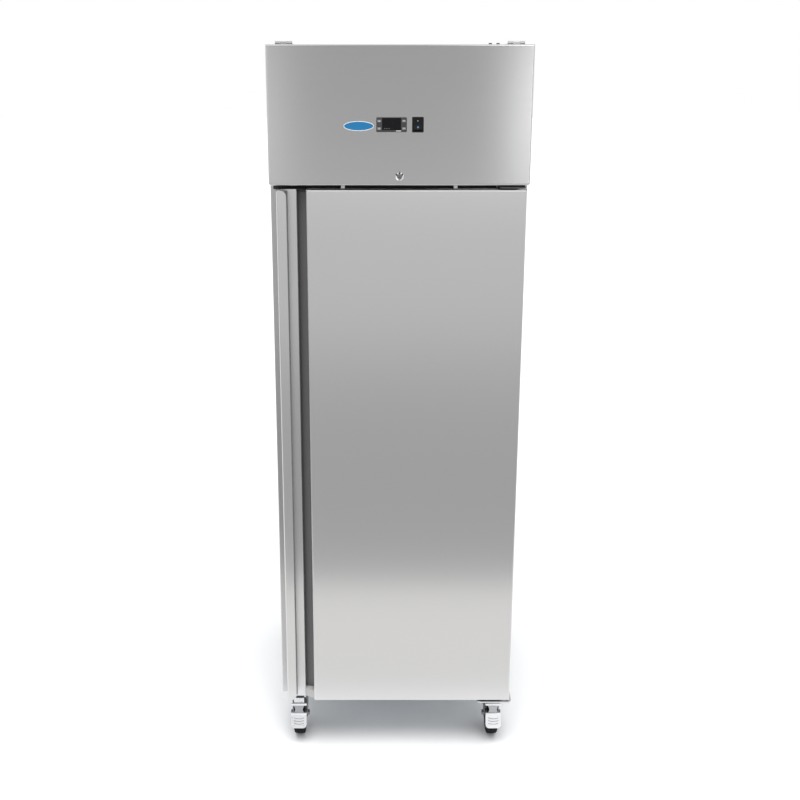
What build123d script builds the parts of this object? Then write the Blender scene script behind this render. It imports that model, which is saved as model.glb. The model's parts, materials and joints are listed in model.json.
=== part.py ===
"""One-door reach-in refrigerator on casters, modelled in millimetres.

+Z is up, the door faces -Y and the origin is under the middle of the cabinet, on the floor.
Each function returns one or more named pieces; main() writes one STEP file per piece.
"""
import os

from build123d import *

# ---------------------------------------------------------------- overall sizes
WIDTH = 686.0                # cabinet and header panel
DEPTH = 830.0                # door face to back panel
LOCK_PROUD = 8.0             # the lock face is the foremost point
HALF = WIDTH / 2
FRONT = -(DEPTH + LOCK_PROUD) / 2 + LOCK_PROUD      # plane of the door's face
BACK = FRONT + DEPTH
FACE_SETBACK = 60.0          # door face to the cabinet's front frame
FACE = FRONT + FACE_SETBACK
CABINET_BOTTOM = 162.0
DOOR_BOTTOM = 166.0
DOOR_TOP = 1677.0
HEADER_BOTTOM = 1688.0
HEADER_TOP = 2043.0
SIDE_TOP = 2036.0
DECK_TOP = 1720.0
SHEET = 1.2                  # stainless sheet
CLEAR = 0.3                  # gap between pieces that move apart
JOIN = 0.1                   # gap between pieces that are fixed side by side

# ---------------------------------------------------------------- storage compartment
INNER_HALF = 283.0
INNER_BACK = BACK - 58.0
INNER_FLOOR = 227.0
INNER_TOP = 1640.0
LINER = 1.0
FRAME_REACH = 53.0           # width of the folded front frame at each side
FRAME_HEM = 6.2
FRAME_LOW = 220.0            # top edge of the frame's bottom rail
FRAME_HIGH = 1647.0          # bottom edge of the frame's top rail
SHELF_HEIGHTS = (480.0, 800.0, 1120.0)

# ---------------------------------------------------------------- door
DOOR_LEFT = -324.0
DOOR_RIGHT = 336.0
DOOR_THICK = 52.0
PANEL_LEFT = -245.0          # left edge of the main face
LIP_RIGHT = -297.5           # free edge of the pull lip
GRIP_DEPTH = 28.0
GRIP_RIGHT = -270.7
CHANNEL_DEPTH = 42.0
CHANNEL_DEPTH_RIGHT = 38.0
CHANNEL_BACK = FRONT + CHANNEL_DEPTH + 1.7
RAIL_SHEET = 1.5
BEND = 4.0
GRIP_FOLD = 2.5
LIP_FREE_RADIUS = 17.0
LIP_FOLD_RADIUS = 8.0
END_CAP_HEIGHT = 25.0
TOP_CAP_HEIGHT = 5.5
GASKET_OUTER = 312.0
GASKET_WIDTH = 20.0
GASKET_LOW = 198.0
GASKET_HIGH = 1669.0
PIVOT_X = 322.0
PIVOT_DEPTH = 18.0
PIVOT_Y = FRONT + PIVOT_DEPTH
PIN_RADIUS = 6.0
RUNNING = 0.05               # radial clearance of a turning fit
BUSH_RADIUS = 8.5
BRACKET_THICK = 4.0
BRACKET_SCREW_X = (276.0, 304.0)
BRACKET_SCREW_Z = DOOR_TOP + 35
BUSH_FLANGE = 11.5

# ---------------------------------------------------------------- header panel
HEADER_DEPTH = 58.0
HEADER_BEND = 5.0
HEADER_CORNER = 6.5
HEADER_LIP = 15.0            # return along the bottom edge
HEADER_TOP_LIP = 20.0
TAB_X = 148.0                # two tabs under the bottom edge
FLAP_DEPTH = 24.0            # header panel's hinge axis
FLAP_Z = 2047.0
FLAP_RADIUS = 4.0
FLAP_PIN = 2.0
FLAP_KNUCKLE = 13.0          # length of each fixed knuckle
FLAP_SPANS = ((-319.0, -275.0), (275.0, 319.0))
RAIL_TOP = HEADER_TOP - 1.0
CONTROL_Z = HEADER_TOP - 199.0
CONTROL_X = -21.0
CONTROL_SIZE = (79.0, 37.0)
WINDOW_SIZE = (49.0, 31.0)
KEY_SIZE = (10.0, 6.0)
KEY_PITCH = (64.0, 19.0)
KEY_TRAVEL = 0.8
SWITCH_X = 47.0
SWITCH_SIZE = (30.0, 39.0)
ROCKER_TILT = 8.0
TRUNNION_RADIUS = 1.5
BADGE_X = -106.0
BADGE_SIZE = (79.0, 25.5)
LOCK_X = 0.0
LOCK_Z = HEADER_BOTTOM + 23.0
LOCK_RADIUS = 12.3
LOCK_BARREL = 9.3
PLUG_RADIUS = 6.0
CAM_DEPTH = 18.2
CAM_THICK = 2.5
CAM_LENGTH = 47.0
CAM_WIDTH = 14.0

# ---------------------------------------------------------------- casters
CASTER_X = 294.0
CASTER_INSET = 82.0          # cabinet face and back to the swivel axes
CASTER_Y = (FACE + CASTER_INSET, BACK - CASTER_INSET)
TRAIL = 36.0
WHEEL_RADIUS = 63.5
WHEEL_WIDTH = 34.0
AXLE_RADIUS = 5.0
KINGPIN_RADIUS = 7.0
PLATE_SIZE = (95.0, 67.0)
CROWN_TOP = 149.4
PEDAL_PIVOT = (-58.0, 133.0)     # Y and Z from the swivel axis and the floor
PEDAL_HALF = 23.5
PEDAL_CORNER = 11.0
NECK_HALF = 13.5
TAB_HALF = 15.5               # release tab above the pedal bar

# ---------------------------------------------------------------- refrigeration unit
CONDENSER_X = (-262.0, 38.0)
CONDENSER_DEPTH = (112.0, 176.0)
CONDENSER_Z = (1728.0, 2002.0)
SHROUD_DEPTH = (176.0, 232.0)
CONDENSER_FAN_RADIUS = 112.0
SHROUD_RADIUS = 119.0
COMPRESSOR_X = 178.0
COMPRESSOR_DEPTH = 420.0
COMPRESSOR_RADIUS = 88.0
EVAPORATOR_DEPTH = (440.0, 771.5)
EVAPORATOR_HALF = 250.0
EVAPORATOR_LOW = 1492.0
EVAPORATOR_FAN_RADIUS = 56.0
TUBE_RADIUS = 4.0
GLAND_X = -250.0
GLAND_Z = 1790.0
GLAND_BORE = 4.5
GLAND_NECK = 8.0
GLAND_FLANGE = 12.0
CONDENSER_STRAP = 128.0      # half length of the condenser fan motor's strap
EVAPORATOR_STRAP = 80.0


def box(x0, x1, y0, y1, z0, z1):
    """Solid block between two corners."""
    return Pos((x0 + x1) / 2, (y0 + y1) / 2, (z0 + z1) / 2) * Box(x1 - x0, y1 - y0, z1 - z0)


def cylinder_z(x, y, z0, z1, radius):
    return Pos(x, y, (z0 + z1) / 2) * Cylinder(radius, z1 - z0)


def cylinder_y(x, z, y0, y1, radius):
    return Pos(x, (y0 + y1) / 2, z) * Rot(90, 0, 0) * Cylinder(radius, y1 - y0)


def cylinder_x(y, z, x0, x1, radius):
    return Pos((x0 + x1) / 2, y, z) * Rot(0, 90, 0) * Cylinder(radius, x1 - x0)


def folded(points, thick, radii, z0, z1):
    """Sheet bent along upright folds; points follow the middle of the sheet in plan."""
    path = FilletPolyline(*points, radius=radii)
    return Pos(0, 0, z0) * extrude(trace(path, line_width=thick), z1 - z0)


def upright_prism(points, z0, z1):
    """Solid with a plan outline, from z0 to z1."""
    return Pos(0, 0, z0) * extrude(make_face(Polyline(*points, close=True)), z1 - z0)


def side_prism(outline, x0, x1):
    """Solid with an outline given as (y, z) points, from x0 to x1."""
    face = make_face(Polyline(*[(0, y, z) for y, z in outline], close=True))
    return Pos(x0, 0, 0) * extrude(face, x1 - x0, dir=(1, 0, 0))


def front_prism(sketch, x, z, y0, y1):
    """A sketch seen from the front, centred at (x, z), made solid from y0 back to y1."""
    return Pos(x, y1, z) * Rot(90, 0, 0) * extrude(sketch, y1 - y0)


def hexagon_y(x, z, y0, y1, radius):
    return front_prism(RegularPolygon(radius, 6), x, z, y0, y1)


def both_sides(shape):
    """A piece and its mirror image across the middle plane."""
    return [shape, mirror(shape, about=Plane.YZ)]


# ---------------------------------------------------------------- cabinet
def side_panel(side):
    """Outer side skin with its front frame folded in, one sheet from base to header."""
    skin = HALF - SHEET / 2
    face = FACE + SHEET / 2
    edge = HALF - FRAME_REACH + SHEET / 2
    points = [(skin, BACK), (skin, face), (edge, face), (edge, FACE + FRAME_HEM)]
    panel = folded(points, SHEET, (2.5, 1.5), CABINET_BOTTOM, SIDE_TOP)
    return panel if side > 0 else mirror(panel, about=Plane.YZ)


def deck_with_rail(level, rail_low, rail_high, hem_low):
    """Level sheet across the cabinet whose front is turned into a hemmed rail."""
    edge = HALF - FRAME_REACH - JOIN
    inside = HALF - SHEET
    hem_back = FACE + FRAME_HEM
    sheet = box(-inside, inside, hem_back, BACK - SHEET, level, level + SHEET)
    step = box(-edge, edge, FACE, hem_back, level, level + SHEET)
    rail = box(-edge, edge, FACE, FACE + SHEET, rail_low, rail_high)
    hem = box(-edge, edge, FACE, hem_back, hem_low, hem_low + SHEET)
    return sheet + step + rail + hem


def base_pan():
    return deck_with_rail(CABINET_BOTTOM, CABINET_BOTTOM, FRAME_LOW, FRAME_LOW - SHEET)


def top_deck():
    return deck_with_rail(DECK_TOP - SHEET, FRAME_HIGH, DECK_TOP, FRAME_HIGH)


def back_panel():
    return box(-HALF + SHEET, HALF - SHEET, BACK - SHEET, BACK, CABINET_BOTTOM, DECK_TOP)


def rear_guard():
    """Louvred sheet behind the refrigeration unit, with the hole for the supply gland."""
    low, high = DECK_TOP + 0.2, SIDE_TOP - 4
    sheet = box(-HALF + SHEET, HALF - SHEET, BACK - SHEET, BACK, low, high)
    slot = SlotOverall(150, 7)
    lowest_row, row_pitch, rows = low + 62, 26, 9
    slots = []
    for x in (-105, 65, 235):
        for row in range(rows):
            slots.append(front_prism(slot, x, lowest_row + row * row_pitch, BACK - 5, BACK + 5))
    gland = cylinder_y(GLAND_X, GLAND_Z, BACK - 5, BACK + 5, GLAND_NECK)
    return sheet - slots - gland


def foam_insulation():
    """Five foamed slabs between the outer skin and the liner."""
    front = FACE + FRAME_HEM
    back = BACK - SHEET
    low, high = CABINET_BOTTOM + SHEET, DECK_TOP - SHEET
    wall = INNER_HALF + LINER
    skin = HALF - SHEET
    slabs = [
        box(-skin, -wall, front, back, low, high),
        box(wall, skin, front, back, low, high),
        box(-wall, wall, front, back, low, INNER_FLOOR - LINER),
        box(-wall, wall, front, back, INNER_TOP + LINER, high),
        box(-wall, wall, INNER_BACK + LINER, back, INNER_FLOOR - LINER, INNER_TOP + LINER),
    ]
    return Compound(slabs)


def inner_liner():
    wall = INNER_HALF + LINER
    front = FACE + FRAME_HEM
    outer = box(-wall, wall, front, INNER_BACK + LINER, INNER_FLOOR - LINER, INNER_TOP + LINER)
    hollow = box(-INNER_HALF, INNER_HALF, front - 1, INNER_BACK, INNER_FLOOR, INNER_TOP)
    upright = hollow.edges().filter_by(Axis.Z).group_by(Axis.Y)[-1]
    return outer - fillet(upright, 8)


def breaker_frame():
    """Plastic strips that close the gap between the steel frame and the liner."""
    outer = HALF - FRAME_REACH - JOIN
    low, high = FRAME_LOW + JOIN, FRAME_HIGH - JOIN
    back = FACE + FRAME_HEM
    bars = [
        box(-outer, outer, FACE, back, low, INNER_FLOOR),
        box(-outer, outer, FACE, back, INNER_TOP, high),
        box(-outer, -INNER_HALF, FACE, back, INNER_FLOOR, INNER_TOP),
        box(INNER_HALF, outer, FACE, back, INNER_FLOOR, INNER_TOP),
    ]
    return Compound(bars)


def header_rail():
    """Angle across the top with the fixed leaves of the header panel's hinges."""
    edge = HALF - SHEET - 2 * JOIN
    front = FACE + FRAME_HEM + 2 * JOIN
    web = box(-edge, edge, front, front + SHEET, RAIL_TOP - 50, RAIL_TOP)
    flange = box(-edge, edge, front, front + 38, RAIL_TOP - SHEET, RAIL_TOP)
    rail = web + flange
    axis_y = FRONT + FLAP_DEPTH
    for x0, x1 in FLAP_SPANS:
        rail += box(x0, x1, axis_y, front + 26, RAIL_TOP, RAIL_TOP + 1.6)
        for k0, k1 in ((x0, x0 + FLAP_KNUCKLE), (x1 - FLAP_KNUCKLE, x1)):
            rail += cylinder_x(axis_y, FLAP_Z, k0, k1, FLAP_RADIUS)
            rail += box(k0, k1, axis_y - 2, axis_y + 6, RAIL_TOP, FLAP_Z)
        slack = x0 + FLAP_KNUCKLE, x1 - FLAP_KNUCKLE
        rail -= box(*slack, axis_y - 8, axis_y + FLAP_RADIUS + 1.5, RAIL_TOP - 1, FLAP_Z + 3)
        rail += cylinder_x(axis_y, FLAP_Z, x0, x1, FLAP_PIN)
    return rail


def lower_hinge_bracket():
    """Plate under the base with the door's lower pivot pin and a stiffening gusset."""
    front, back = FRONT + 0.5, FACE + 22
    x0, x1 = 240.0, HALF
    low = CABINET_BOTTOM - BRACKET_THICK
    hub_low = CABINET_BOTTOM - 9
    plate = box(x0, x1, front, back, low, CABINET_BOTTOM)
    corners = plate.edges().filter_by(Axis.Z).group_by(Axis.Y)[0]
    plate = fillet(corners, 12)
    hub = cylinder_z(PIVOT_X, PIVOT_Y, hub_low, low, 13)
    pin = cylinder_z(PIVOT_X, PIVOT_Y, hub_low, DOOR_BOTTOM + 16, PIN_RADIUS)
    gusset = box(x0 + 6, x0 + 10, front + 14, back, CABINET_BOTTOM - 12, low)
    return plate + hub + pin + gusset


def upper_hinge_bracket():
    """Angle on the front frame with the door's upper pivot pin."""
    low = DOOR_TOP + 3
    high = low + BRACKET_THICK
    plate = box(262, 333, FRONT + 3, FACE, low, high)
    corners = plate.edges().filter_by(Axis.Z).group_by(Axis.Y)[0]
    plate = fillet(corners, 8)
    upright = box(262, 318, FACE - BRACKET_THICK, FACE, low, low + 50)
    for x in BRACKET_SCREW_X:
        upright -= cylinder_y(x, BRACKET_SCREW_Z, FACE - 9, FACE + 1, 3.2)
    pin = cylinder_z(PIVOT_X, PIVOT_Y, DOOR_TOP - 16, high, PIN_RADIUS)
    return plate + upright + pin


def cabinet_screws():
    """Pan-head screws of the hinge brackets, header rail and rear guard."""
    screws = []
    head = 3
    bracket_face = FACE - BRACKET_THICK
    bracket_low = CABINET_BOTTOM - BRACKET_THICK
    for x in BRACKET_SCREW_X:
        screw = cylinder_y(x, BRACKET_SCREW_Z, bracket_face - head, bracket_face, 5.5)
        screw += cylinder_y(x, BRACKET_SCREW_Z, bracket_face, FACE, 2.6)
        screws.append(screw)
    for x in (235, 255):
        screws.append(cylinder_z(x, FACE + 12, RAIL_TOP, RAIL_TOP + head + 1, 4.5))
    for x in (258, 290):
        for y in (FACE + 6, FACE + 15):
            screws.append(cylinder_z(x, y, bracket_low - head, bracket_low, 4))
    for x in (-330, 330):
        for z in (DECK_TOP + 18, SIDE_TOP - 20):
            screws.append(cylinder_y(x, z, BACK - SHEET - head, BACK - SHEET, 4))
    return Compound(screws)


def caster_plates():
    """Top plates and swivel bearing housings of the four casters."""
    plates = []
    for x, y in caster_spots():
        low = CABINET_BOTTOM - BRACKET_THICK
        half_x, half_y = PLATE_SIZE[0] / 2, PLATE_SIZE[1] / 2
        plate = box(x - half_x, x + half_x, y - half_y, y + half_y, low, CABINET_BOTTOM)
        plate = fillet(plate.edges().filter_by(Axis.Z), 6)
        plate += cylinder_z(x, y, 150, low, 22)
        plate -= cylinder_z(x, y, 149, low, KINGPIN_RADIUS + RUNNING)
        plates.append(plate)
    return Compound(plates)


def cord_gland():
    """Grommet for the supply cord in the rear guard."""
    grommet = cylinder_y(GLAND_X, GLAND_Z, BACK - SHEET, BACK, GLAND_NECK)
    grommet += cylinder_y(GLAND_X, GLAND_Z, BACK - SHEET - 6, BACK - SHEET, GLAND_FLANGE)
    return grommet - cylinder_y(GLAND_X, GLAND_Z, BACK - 20, BACK + 5, GLAND_BORE)


# ---------------------------------------------------------------- shelves
def shelf_supports():
    """Two slotted uprights on each side wall and the clips that carry the shelves."""
    pieces = []
    face = INNER_HALF - 5
    for y in (FACE + 110, INNER_BACK - 90):
        strip = box(face, INNER_HALF, y - 12, y + 12, INNER_FLOOR + 10, EVAPORATOR_LOW - 12)
        for height in SHELF_HEIGHTS:
            strip += box(face - 11, face, y - 9, y + 9, height - 6, height)
            strip += box(face - 3, face, y - 9, y + 9, height - 22, height - 6)
        pieces += both_sides(strip)
    return Compound(pieces)


def wire_shelf(height):
    """Welded wire grid: a rim, three cross rods and front-to-back wires."""
    half = INNER_HALF - 8
    front, back = FACE + 30, INNER_BACK - 22
    rod, wire = 3.0, 2.0
    count, margin = 23, 12
    level = height + rod
    rim = cylinder_y(half - rod, level, front, back, rod)
    rim += mirror(rim, about=Plane.YZ)
    for y in (front, front + (back - front) * 0.35, front + (back - front) * 0.68, back):
        rim += cylinder_x(y, level, -half + rod, half - rod, rod)
    for x in (-half + rod, half - rod):
        for y in (front, back):
            rim += Pos(x, y, level) * Sphere(rod)
    pitch = 2 * (half - margin) / (count - 1)
    spots = [margin - half + pitch * k for k in range(count)]
    return rim + [cylinder_y(x, level + 3.5, front, back, wire) for x in spots]


# ---------------------------------------------------------------- refrigeration unit
def evaporator_cover():
    """Moulded cover on the ceiling with an opening for the fan."""
    front, back = FRONT + EVAPORATOR_DEPTH[0], FRONT + EVAPORATOR_DEPTH[1]
    top = INNER_TOP
    wall = 2.5
    slope = 60.0
    outline = [(front + slope, EVAPORATOR_LOW), (back, EVAPORATOR_LOW), (back, top), (front, top),
               (front, EVAPORATOR_LOW + slope)]
    inside = [(front + slope, EVAPORATOR_LOW + wall), (back + 1, EVAPORATOR_LOW + wall), (back + 1, top + 1),
              (front + wall, top + 1), (front + wall, EVAPORATOR_LOW + slope + 1)]
    cover = side_prism(outline, -EVAPORATOR_HALF, EVAPORATOR_HALF)
    cover -= side_prism(inside, -EVAPORATOR_HALF + wall, EVAPORATOR_HALF - wall)
    fan_z = evaporator_fan_spot()[1]
    cover -= cylinder_y(0, fan_z, front - 5, front + wall + 40, EVAPORATOR_FAN_RADIUS + 4)
    return cover


def evaporator_fan_spot():
    return FRONT + EVAPORATOR_DEPTH[0] + 24, INNER_TOP - 64


def condenser_fan_spot():
    x = sum(CONDENSER_X) / 2
    z = sum(CONDENSER_Z) / 2
    return x, FRONT + SHROUD_DEPTH[1] - 24, z


def finned_coil(x0, x1, y0, y1, z0, z1, rows, columns):
    """Coil block between end plates, with the return bends of its tubes."""
    coil = box(x0 + 8, x1 - 8, y0 + 2, y1 - 2, z0, z1)
    for x in (x0 + 6, x1 - 8):
        coil += box(x, x + 2, y0, y1, z0, z1)
    pitch_z = (z1 - z0) / rows
    pitch_y = (y1 - y0) / columns
    for row in range(0, rows - 1, 2):
        for column in range(columns):
            y = y0 + pitch_y * (column + 0.5)
            low = z0 + pitch_z * (row + 0.5)
            bend = Pos(x1 - 6, y, low + pitch_z / 2) * Rot(90, 0, 0) * Torus(pitch_z / 2, 3)
            coil += bend & box(x1 - 6.5, x1 + pitch_z, y - 5, y + 5, z0, z1)
    return coil


def evaporator_coil():
    front = FRONT + EVAPORATOR_DEPTH[0] + 130
    return finned_coil(-225, 205, front, front + 110, INNER_TOP - 108, INNER_TOP - 12, 4, 3)


def condenser_coil():
    y0, y1 = FRONT + CONDENSER_DEPTH[0], FRONT + CONDENSER_DEPTH[1]
    return finned_coil(CONDENSER_X[0], CONDENSER_X[1], y0, y1, CONDENSER_Z[0], CONDENSER_Z[1], 10, 2)


def condenser_fan_shroud():
    x, _, z = condenser_fan_spot()
    y0, y1 = FRONT + SHROUD_DEPTH[0], FRONT + SHROUD_DEPTH[1]
    shroud = box(CONDENSER_X[0] + 6, CONDENSER_X[1] - 6, y0, y1, *CONDENSER_Z)
    inner_z = CONDENSER_Z[0] + 2, CONDENSER_Z[1] - 2
    inner = box(CONDENSER_X[0] + 8, CONDENSER_X[1] - 8, y0 - 1, y1 - 2, *inner_z)
    ring = cylinder_y(x, z, y0 + 14, y1, SHROUD_RADIUS + 2)
    return (shroud - inner) + ring - cylinder_y(x, z, y0 - 1, y1 + 1, SHROUD_RADIUS)


def fan_motor(x, z, y, length, radius, reach):
    """Motor can behind its fan, on a cross strap; the bore takes the fan's shaft."""
    can = cylinder_y(x, z, y, y + length, radius)
    can = fillet(can.edges().filter_by(GeomType.CIRCLE), 3)
    strap = box(x - reach, x + reach, y + length / 2 - 1.5, y + length / 2 + 1.5, z - 9, z + 9)
    return can + strap - cylinder_y(x, z, y - 1, y + 16, 4 + RUNNING)


def condenser_fan_motor():
    x, y, z = condenser_fan_spot()
    back = FRONT + SHROUD_DEPTH[1]
    motor = fan_motor(x, z, back + 6, 56, 38, CONDENSER_STRAP)
    for end in (x - CONDENSER_STRAP, x + CONDENSER_STRAP):
        motor += box(end - 3, end + 3, back, back + 34, z - 9, z + 9)
    return motor


def evaporator_fan_motor():
    y, z = evaporator_fan_spot()
    motor = fan_motor(0, z, y + 12, 44, 26, EVAPORATOR_STRAP)
    for end in (-EVAPORATOR_STRAP, EVAPORATOR_STRAP):
        motor += box(end - 3, end + 3, y + 32, y + 36, z - 9, INNER_TOP)
    return motor


def fan_blade(x, y, z, radius, blades, depth):
    """Axial fan with its hub and the stub shaft that runs in the motor."""
    hub = cylinder_y(x, z, y - depth / 2, y + depth / 2, radius * 0.26)
    shaft = cylinder_y(x, z, y, y + depth / 2 + 18, 4)
    fan = hub + shaft
    span = radius * 0.8
    for k in range(blades):
        blade = Pos(radius * 0.2 + span / 2, 0, 0) * Rot(28, 0, 0) * Box(span, 1.6, radius * 0.52)
        fan += Pos(x, y, z) * Rot(0, 360 / blades * k, 0) * blade
    return fan & cylinder_y(x, z, y - 60, y + 60, radius)


def condenser_fan_blade():
    x, y, z = condenser_fan_spot()
    return fan_blade(x, y, z, CONDENSER_FAN_RADIUS, 5, 22)


def evaporator_fan_blade():
    y, z = evaporator_fan_spot()
    return fan_blade(0, y, z, EVAPORATOR_FAN_RADIUS, 5, 16)


def compressor():
    """Hermetic compressor: domed shell on a foot plate with rubber feet."""
    x, y = COMPRESSOR_X, FRONT + COMPRESSOR_DEPTH
    foot = box(x - 110, x + 110, y - 70, y + 70, DECK_TOP + 12, DECK_TOP + 15)
    shell = compressor_shell()
    shell = fillet(shell.edges().filter_by(GeomType.CIRCLE).sort_by(Axis.Z)[-1], 52)
    seam = cylinder_z(x, y, DECK_TOP + 100, DECK_TOP + 108, COMPRESSOR_RADIUS + 4)
    unit = foot + shell + seam
    for dx in (-96, 96):
        for dy in (-56, 56):
            unit += cylinder_z(x + dx, y + dy, DECK_TOP, DECK_TOP + 22, 9)
    relay_cover = box(x - 122, x - 80, y - 32, y + 32, DECK_TOP + 60, DECK_TOP + 128)
    return unit + relay_cover


def compressor_shell():
    y = FRONT + COMPRESSOR_DEPTH
    return cylinder_z(COMPRESSOR_X, y, DECK_TOP + 15, DECK_TOP + 195, COMPRESSOR_RADIUS)


def electrical_box():
    x0, x1 = -300.0, -160.0
    y0, y1 = FRONT + 560, FRONT + 700
    case = box(x0, x1, y0, y1, DECK_TOP, DECK_TOP + 150)
    return fillet(case.edges().filter_by(Axis.Z), 4)


def tube(points, radius):
    """Round tube along straight runs joined by arcs."""
    path = FilletPolyline(*points, radius=14)
    return sweep(Plane(origin=path @ 0, z_dir=path % 0) * Circle(radius), path=path)


def refrigerant_tubes():
    """Discharge, liquid and suction lines with the filter drier."""
    y = FRONT + COMPRESSOR_DEPTH
    discharge_y = y + 44
    discharge_x, discharge_low, discharge_high = 50, 1860, 1960
    discharge = tube([
        (COMPRESSOR_X - 60, discharge_y, discharge_low),
        (discharge_x, discharge_y, discharge_low),
        (discharge_x, discharge_y, discharge_high),
        (discharge_x, FRONT + CONDENSER_DEPTH[1] - 14, discharge_high),
    ], TUBE_RADIUS)
    drier_x, drier_y, drier_z = 70, y - 100, 1760
    drier = cylinder_y(drier_x, drier_z, drier_y - 50, drier_y + 50, 14)
    drier = fillet(drier.edges().filter_by(GeomType.CIRCLE), 8)
    liquid = tube([
        (drier_x, drier_y - 50, drier_z),
        (drier_x, drier_y - 110, drier_z),
        (drier_x - 36, drier_y - 110, drier_z),
    ], TUBE_RADIUS)
    suction_x, suction_y, suction_z = 40, y + 180, 1800
    suction = tube([
        (suction_x, suction_y, DECK_TOP),
        (suction_x, suction_y, suction_z),
        (COMPRESSOR_X, suction_y, suction_z),
        (COMPRESSOR_X, y + COMPRESSOR_RADIUS - 6, suction_z),
    ], TUBE_RADIUS + 1.5)
    capillary_y = drier_y + 250
    capillary = tube([
        (drier_x, drier_y + 50, drier_z),
        (drier_x, capillary_y, drier_z),
        (drier_x, capillary_y, DECK_TOP),
    ], 2)
    shell = compressor_shell()
    return Compound([discharge - shell, drier, liquid, suction - shell, capillary])


# ---------------------------------------------------------------- door
def door_skin():
    """Front sheet of the door, folded back on all four edges."""
    low, high = DOOR_BOTTOM + SHEET, DOOR_TOP - SHEET
    back = FRONT + DOOR_THICK
    outer = box(PANEL_LEFT, DOOR_RIGHT, FRONT, back, DOOR_BOTTOM, DOOR_TOP)
    outer = fillet(front_edges(outer), BEND)
    inner = box(PANEL_LEFT + SHEET, DOOR_RIGHT - SHEET, FRONT + SHEET, back + 1, low, high)
    inner = fillet(front_edges(inner), BEND - SHEET)
    tuck = box(PANEL_LEFT - 1, PANEL_LEFT + SHEET, back - SHEET, back + 1, low, high)
    return outer - inner - tuck - door_pockets()


def front_edges(block):
    """Upright and level edges of a block's front face."""
    return block.faces().sort_by(Axis.Y)[0].edges()


def door_pockets():
    """Bores for the hinge bushes and the pocket for the lock's cam."""
    hole = BUSH_RADIUS + JOIN
    low = cylinder_z(PIVOT_X, PIVOT_Y, DOOR_BOTTOM - 1, DOOR_BOTTOM + 23, hole)
    high = cylinder_z(PIVOT_X, PIVOT_Y, DOOR_TOP - 23, DOOR_TOP + 1, hole)
    y0 = FRONT + CAM_DEPTH - 2.5
    slot = box(LOCK_X - 10, LOCK_X + 38, y0, y0 + CAM_THICK + 5, DOOR_TOP - 18, DOOR_TOP + 1)
    return low + high + slot


def door_foam():
    low, high = DOOR_BOTTOM + SHEET, DOOR_TOP - SHEET
    back = FRONT + DOOR_THICK - SHEET
    main = box(PANEL_LEFT + SHEET, DOOR_RIGHT - SHEET, FRONT + SHEET, back, low, high)
    main = fillet(front_edges(main), BEND - SHEET)
    rail_back = FRONT + GRIP_DEPTH
    grip_edge = GRIP_RIGHT - RAIL_SHEET
    behind_grip = box(DOOR_LEFT + SHEET, grip_edge, rail_back, back, low, high)
    fold = behind_grip.edges().filter_by(Axis.Z).group_by(Axis.Y)[0].sort_by(Axis.X)[-1]
    behind_grip = fillet(fold, GRIP_FOLD)
    behind_channel = box(grip_edge, PANEL_LEFT, CHANNEL_BACK, back, low, high)
    return Compound([main - door_pockets(), behind_grip, behind_channel])


def door_inner_panel():
    """Inner face of the door and its left edge strip."""
    low, high = DOOR_BOTTOM + SHEET, DOOR_TOP - SHEET
    back = FRONT + DOOR_THICK
    sheet = box(DOOR_LEFT, DOOR_RIGHT - SHEET, back - SHEET, back, low, high)
    edge = box(DOOR_LEFT, DOOR_LEFT + SHEET, FRONT + GRIP_DEPTH, back - SHEET, low, high)
    return Compound([sheet, edge])


def door_gasket():
    """Magnetic gasket: four straight profiles around the opening."""
    y0, y1 = FRONT + DOOR_THICK, FACE
    inner = GASKET_OUTER - GASKET_WIDTH
    low, high = GASKET_LOW + GASKET_WIDTH, GASKET_HIGH - GASKET_WIDTH
    bottom = box(-GASKET_OUTER, GASKET_OUTER, y0, y1, GASKET_LOW, low)
    top = box(-GASKET_OUTER, GASKET_OUTER, y0, y1, high, GASKET_HIGH)
    return Compound([bottom, top, *both_sides(box(inner, GASKET_OUTER, y0, y1, low, high))])


def handle_rail():
    """Full-height pull: lip in front, grip plane behind it, and the channel's left wall."""
    half = RAIL_SHEET / 2
    left = DOOR_LEFT + half
    grip = FRONT + GRIP_DEPTH - half
    points = [(LIP_RIGHT, FRONT + half), (left, FRONT + half), (left, grip), (GRIP_RIGHT - half, grip),
              (GRIP_RIGHT - half, FRONT + CHANNEL_DEPTH + 1.5)]
    rail = folded(points, RAIL_SHEET, (BEND, BEND, GRIP_FOLD), DOOR_BOTTOM + SHEET, DOOR_TOP - SHEET)
    for z, inward in ((DOOR_BOTTOM + SHEET, 1), (DOOR_TOP - SHEET, -1)):
        rail -= lip_corner(LIP_RIGHT, -1, z, inward, LIP_FREE_RADIUS)
        rail -= lip_corner(DOOR_LEFT, 1, z, inward, LIP_FOLD_RADIUS)
    return rail


def lip_corner(x, toward, z, inward, radius):
    """What a rounded corner takes off the lip, at an outer corner (x, z)."""
    xs = sorted((x - toward, x + toward * radius))
    zs = sorted((z - inward, z + inward * radius))
    block = box(*xs, FRONT - 1, FRONT + 4.2, *zs)
    return block - cylinder_y(x + toward * radius, z + inward * radius, FRONT - 2, FRONT + 6, radius)


def handle_channel():
    """Dark floor of the finger channel beside the grip plane."""
    x0, x1 = GRIP_RIGHT, PANEL_LEFT
    floor, rise = FRONT + CHANNEL_DEPTH, FRONT + CHANNEL_DEPTH_RIGHT
    low = DOOR_BOTTOM + SHEET + END_CAP_HEIGHT
    high = DOOR_TOP - SHEET - TOP_CAP_HEIGHT
    return upright_prism([(x0, floor), (x1, rise), (x1, CHANNEL_BACK), (x0, CHANNEL_BACK)], low, high)


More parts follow.
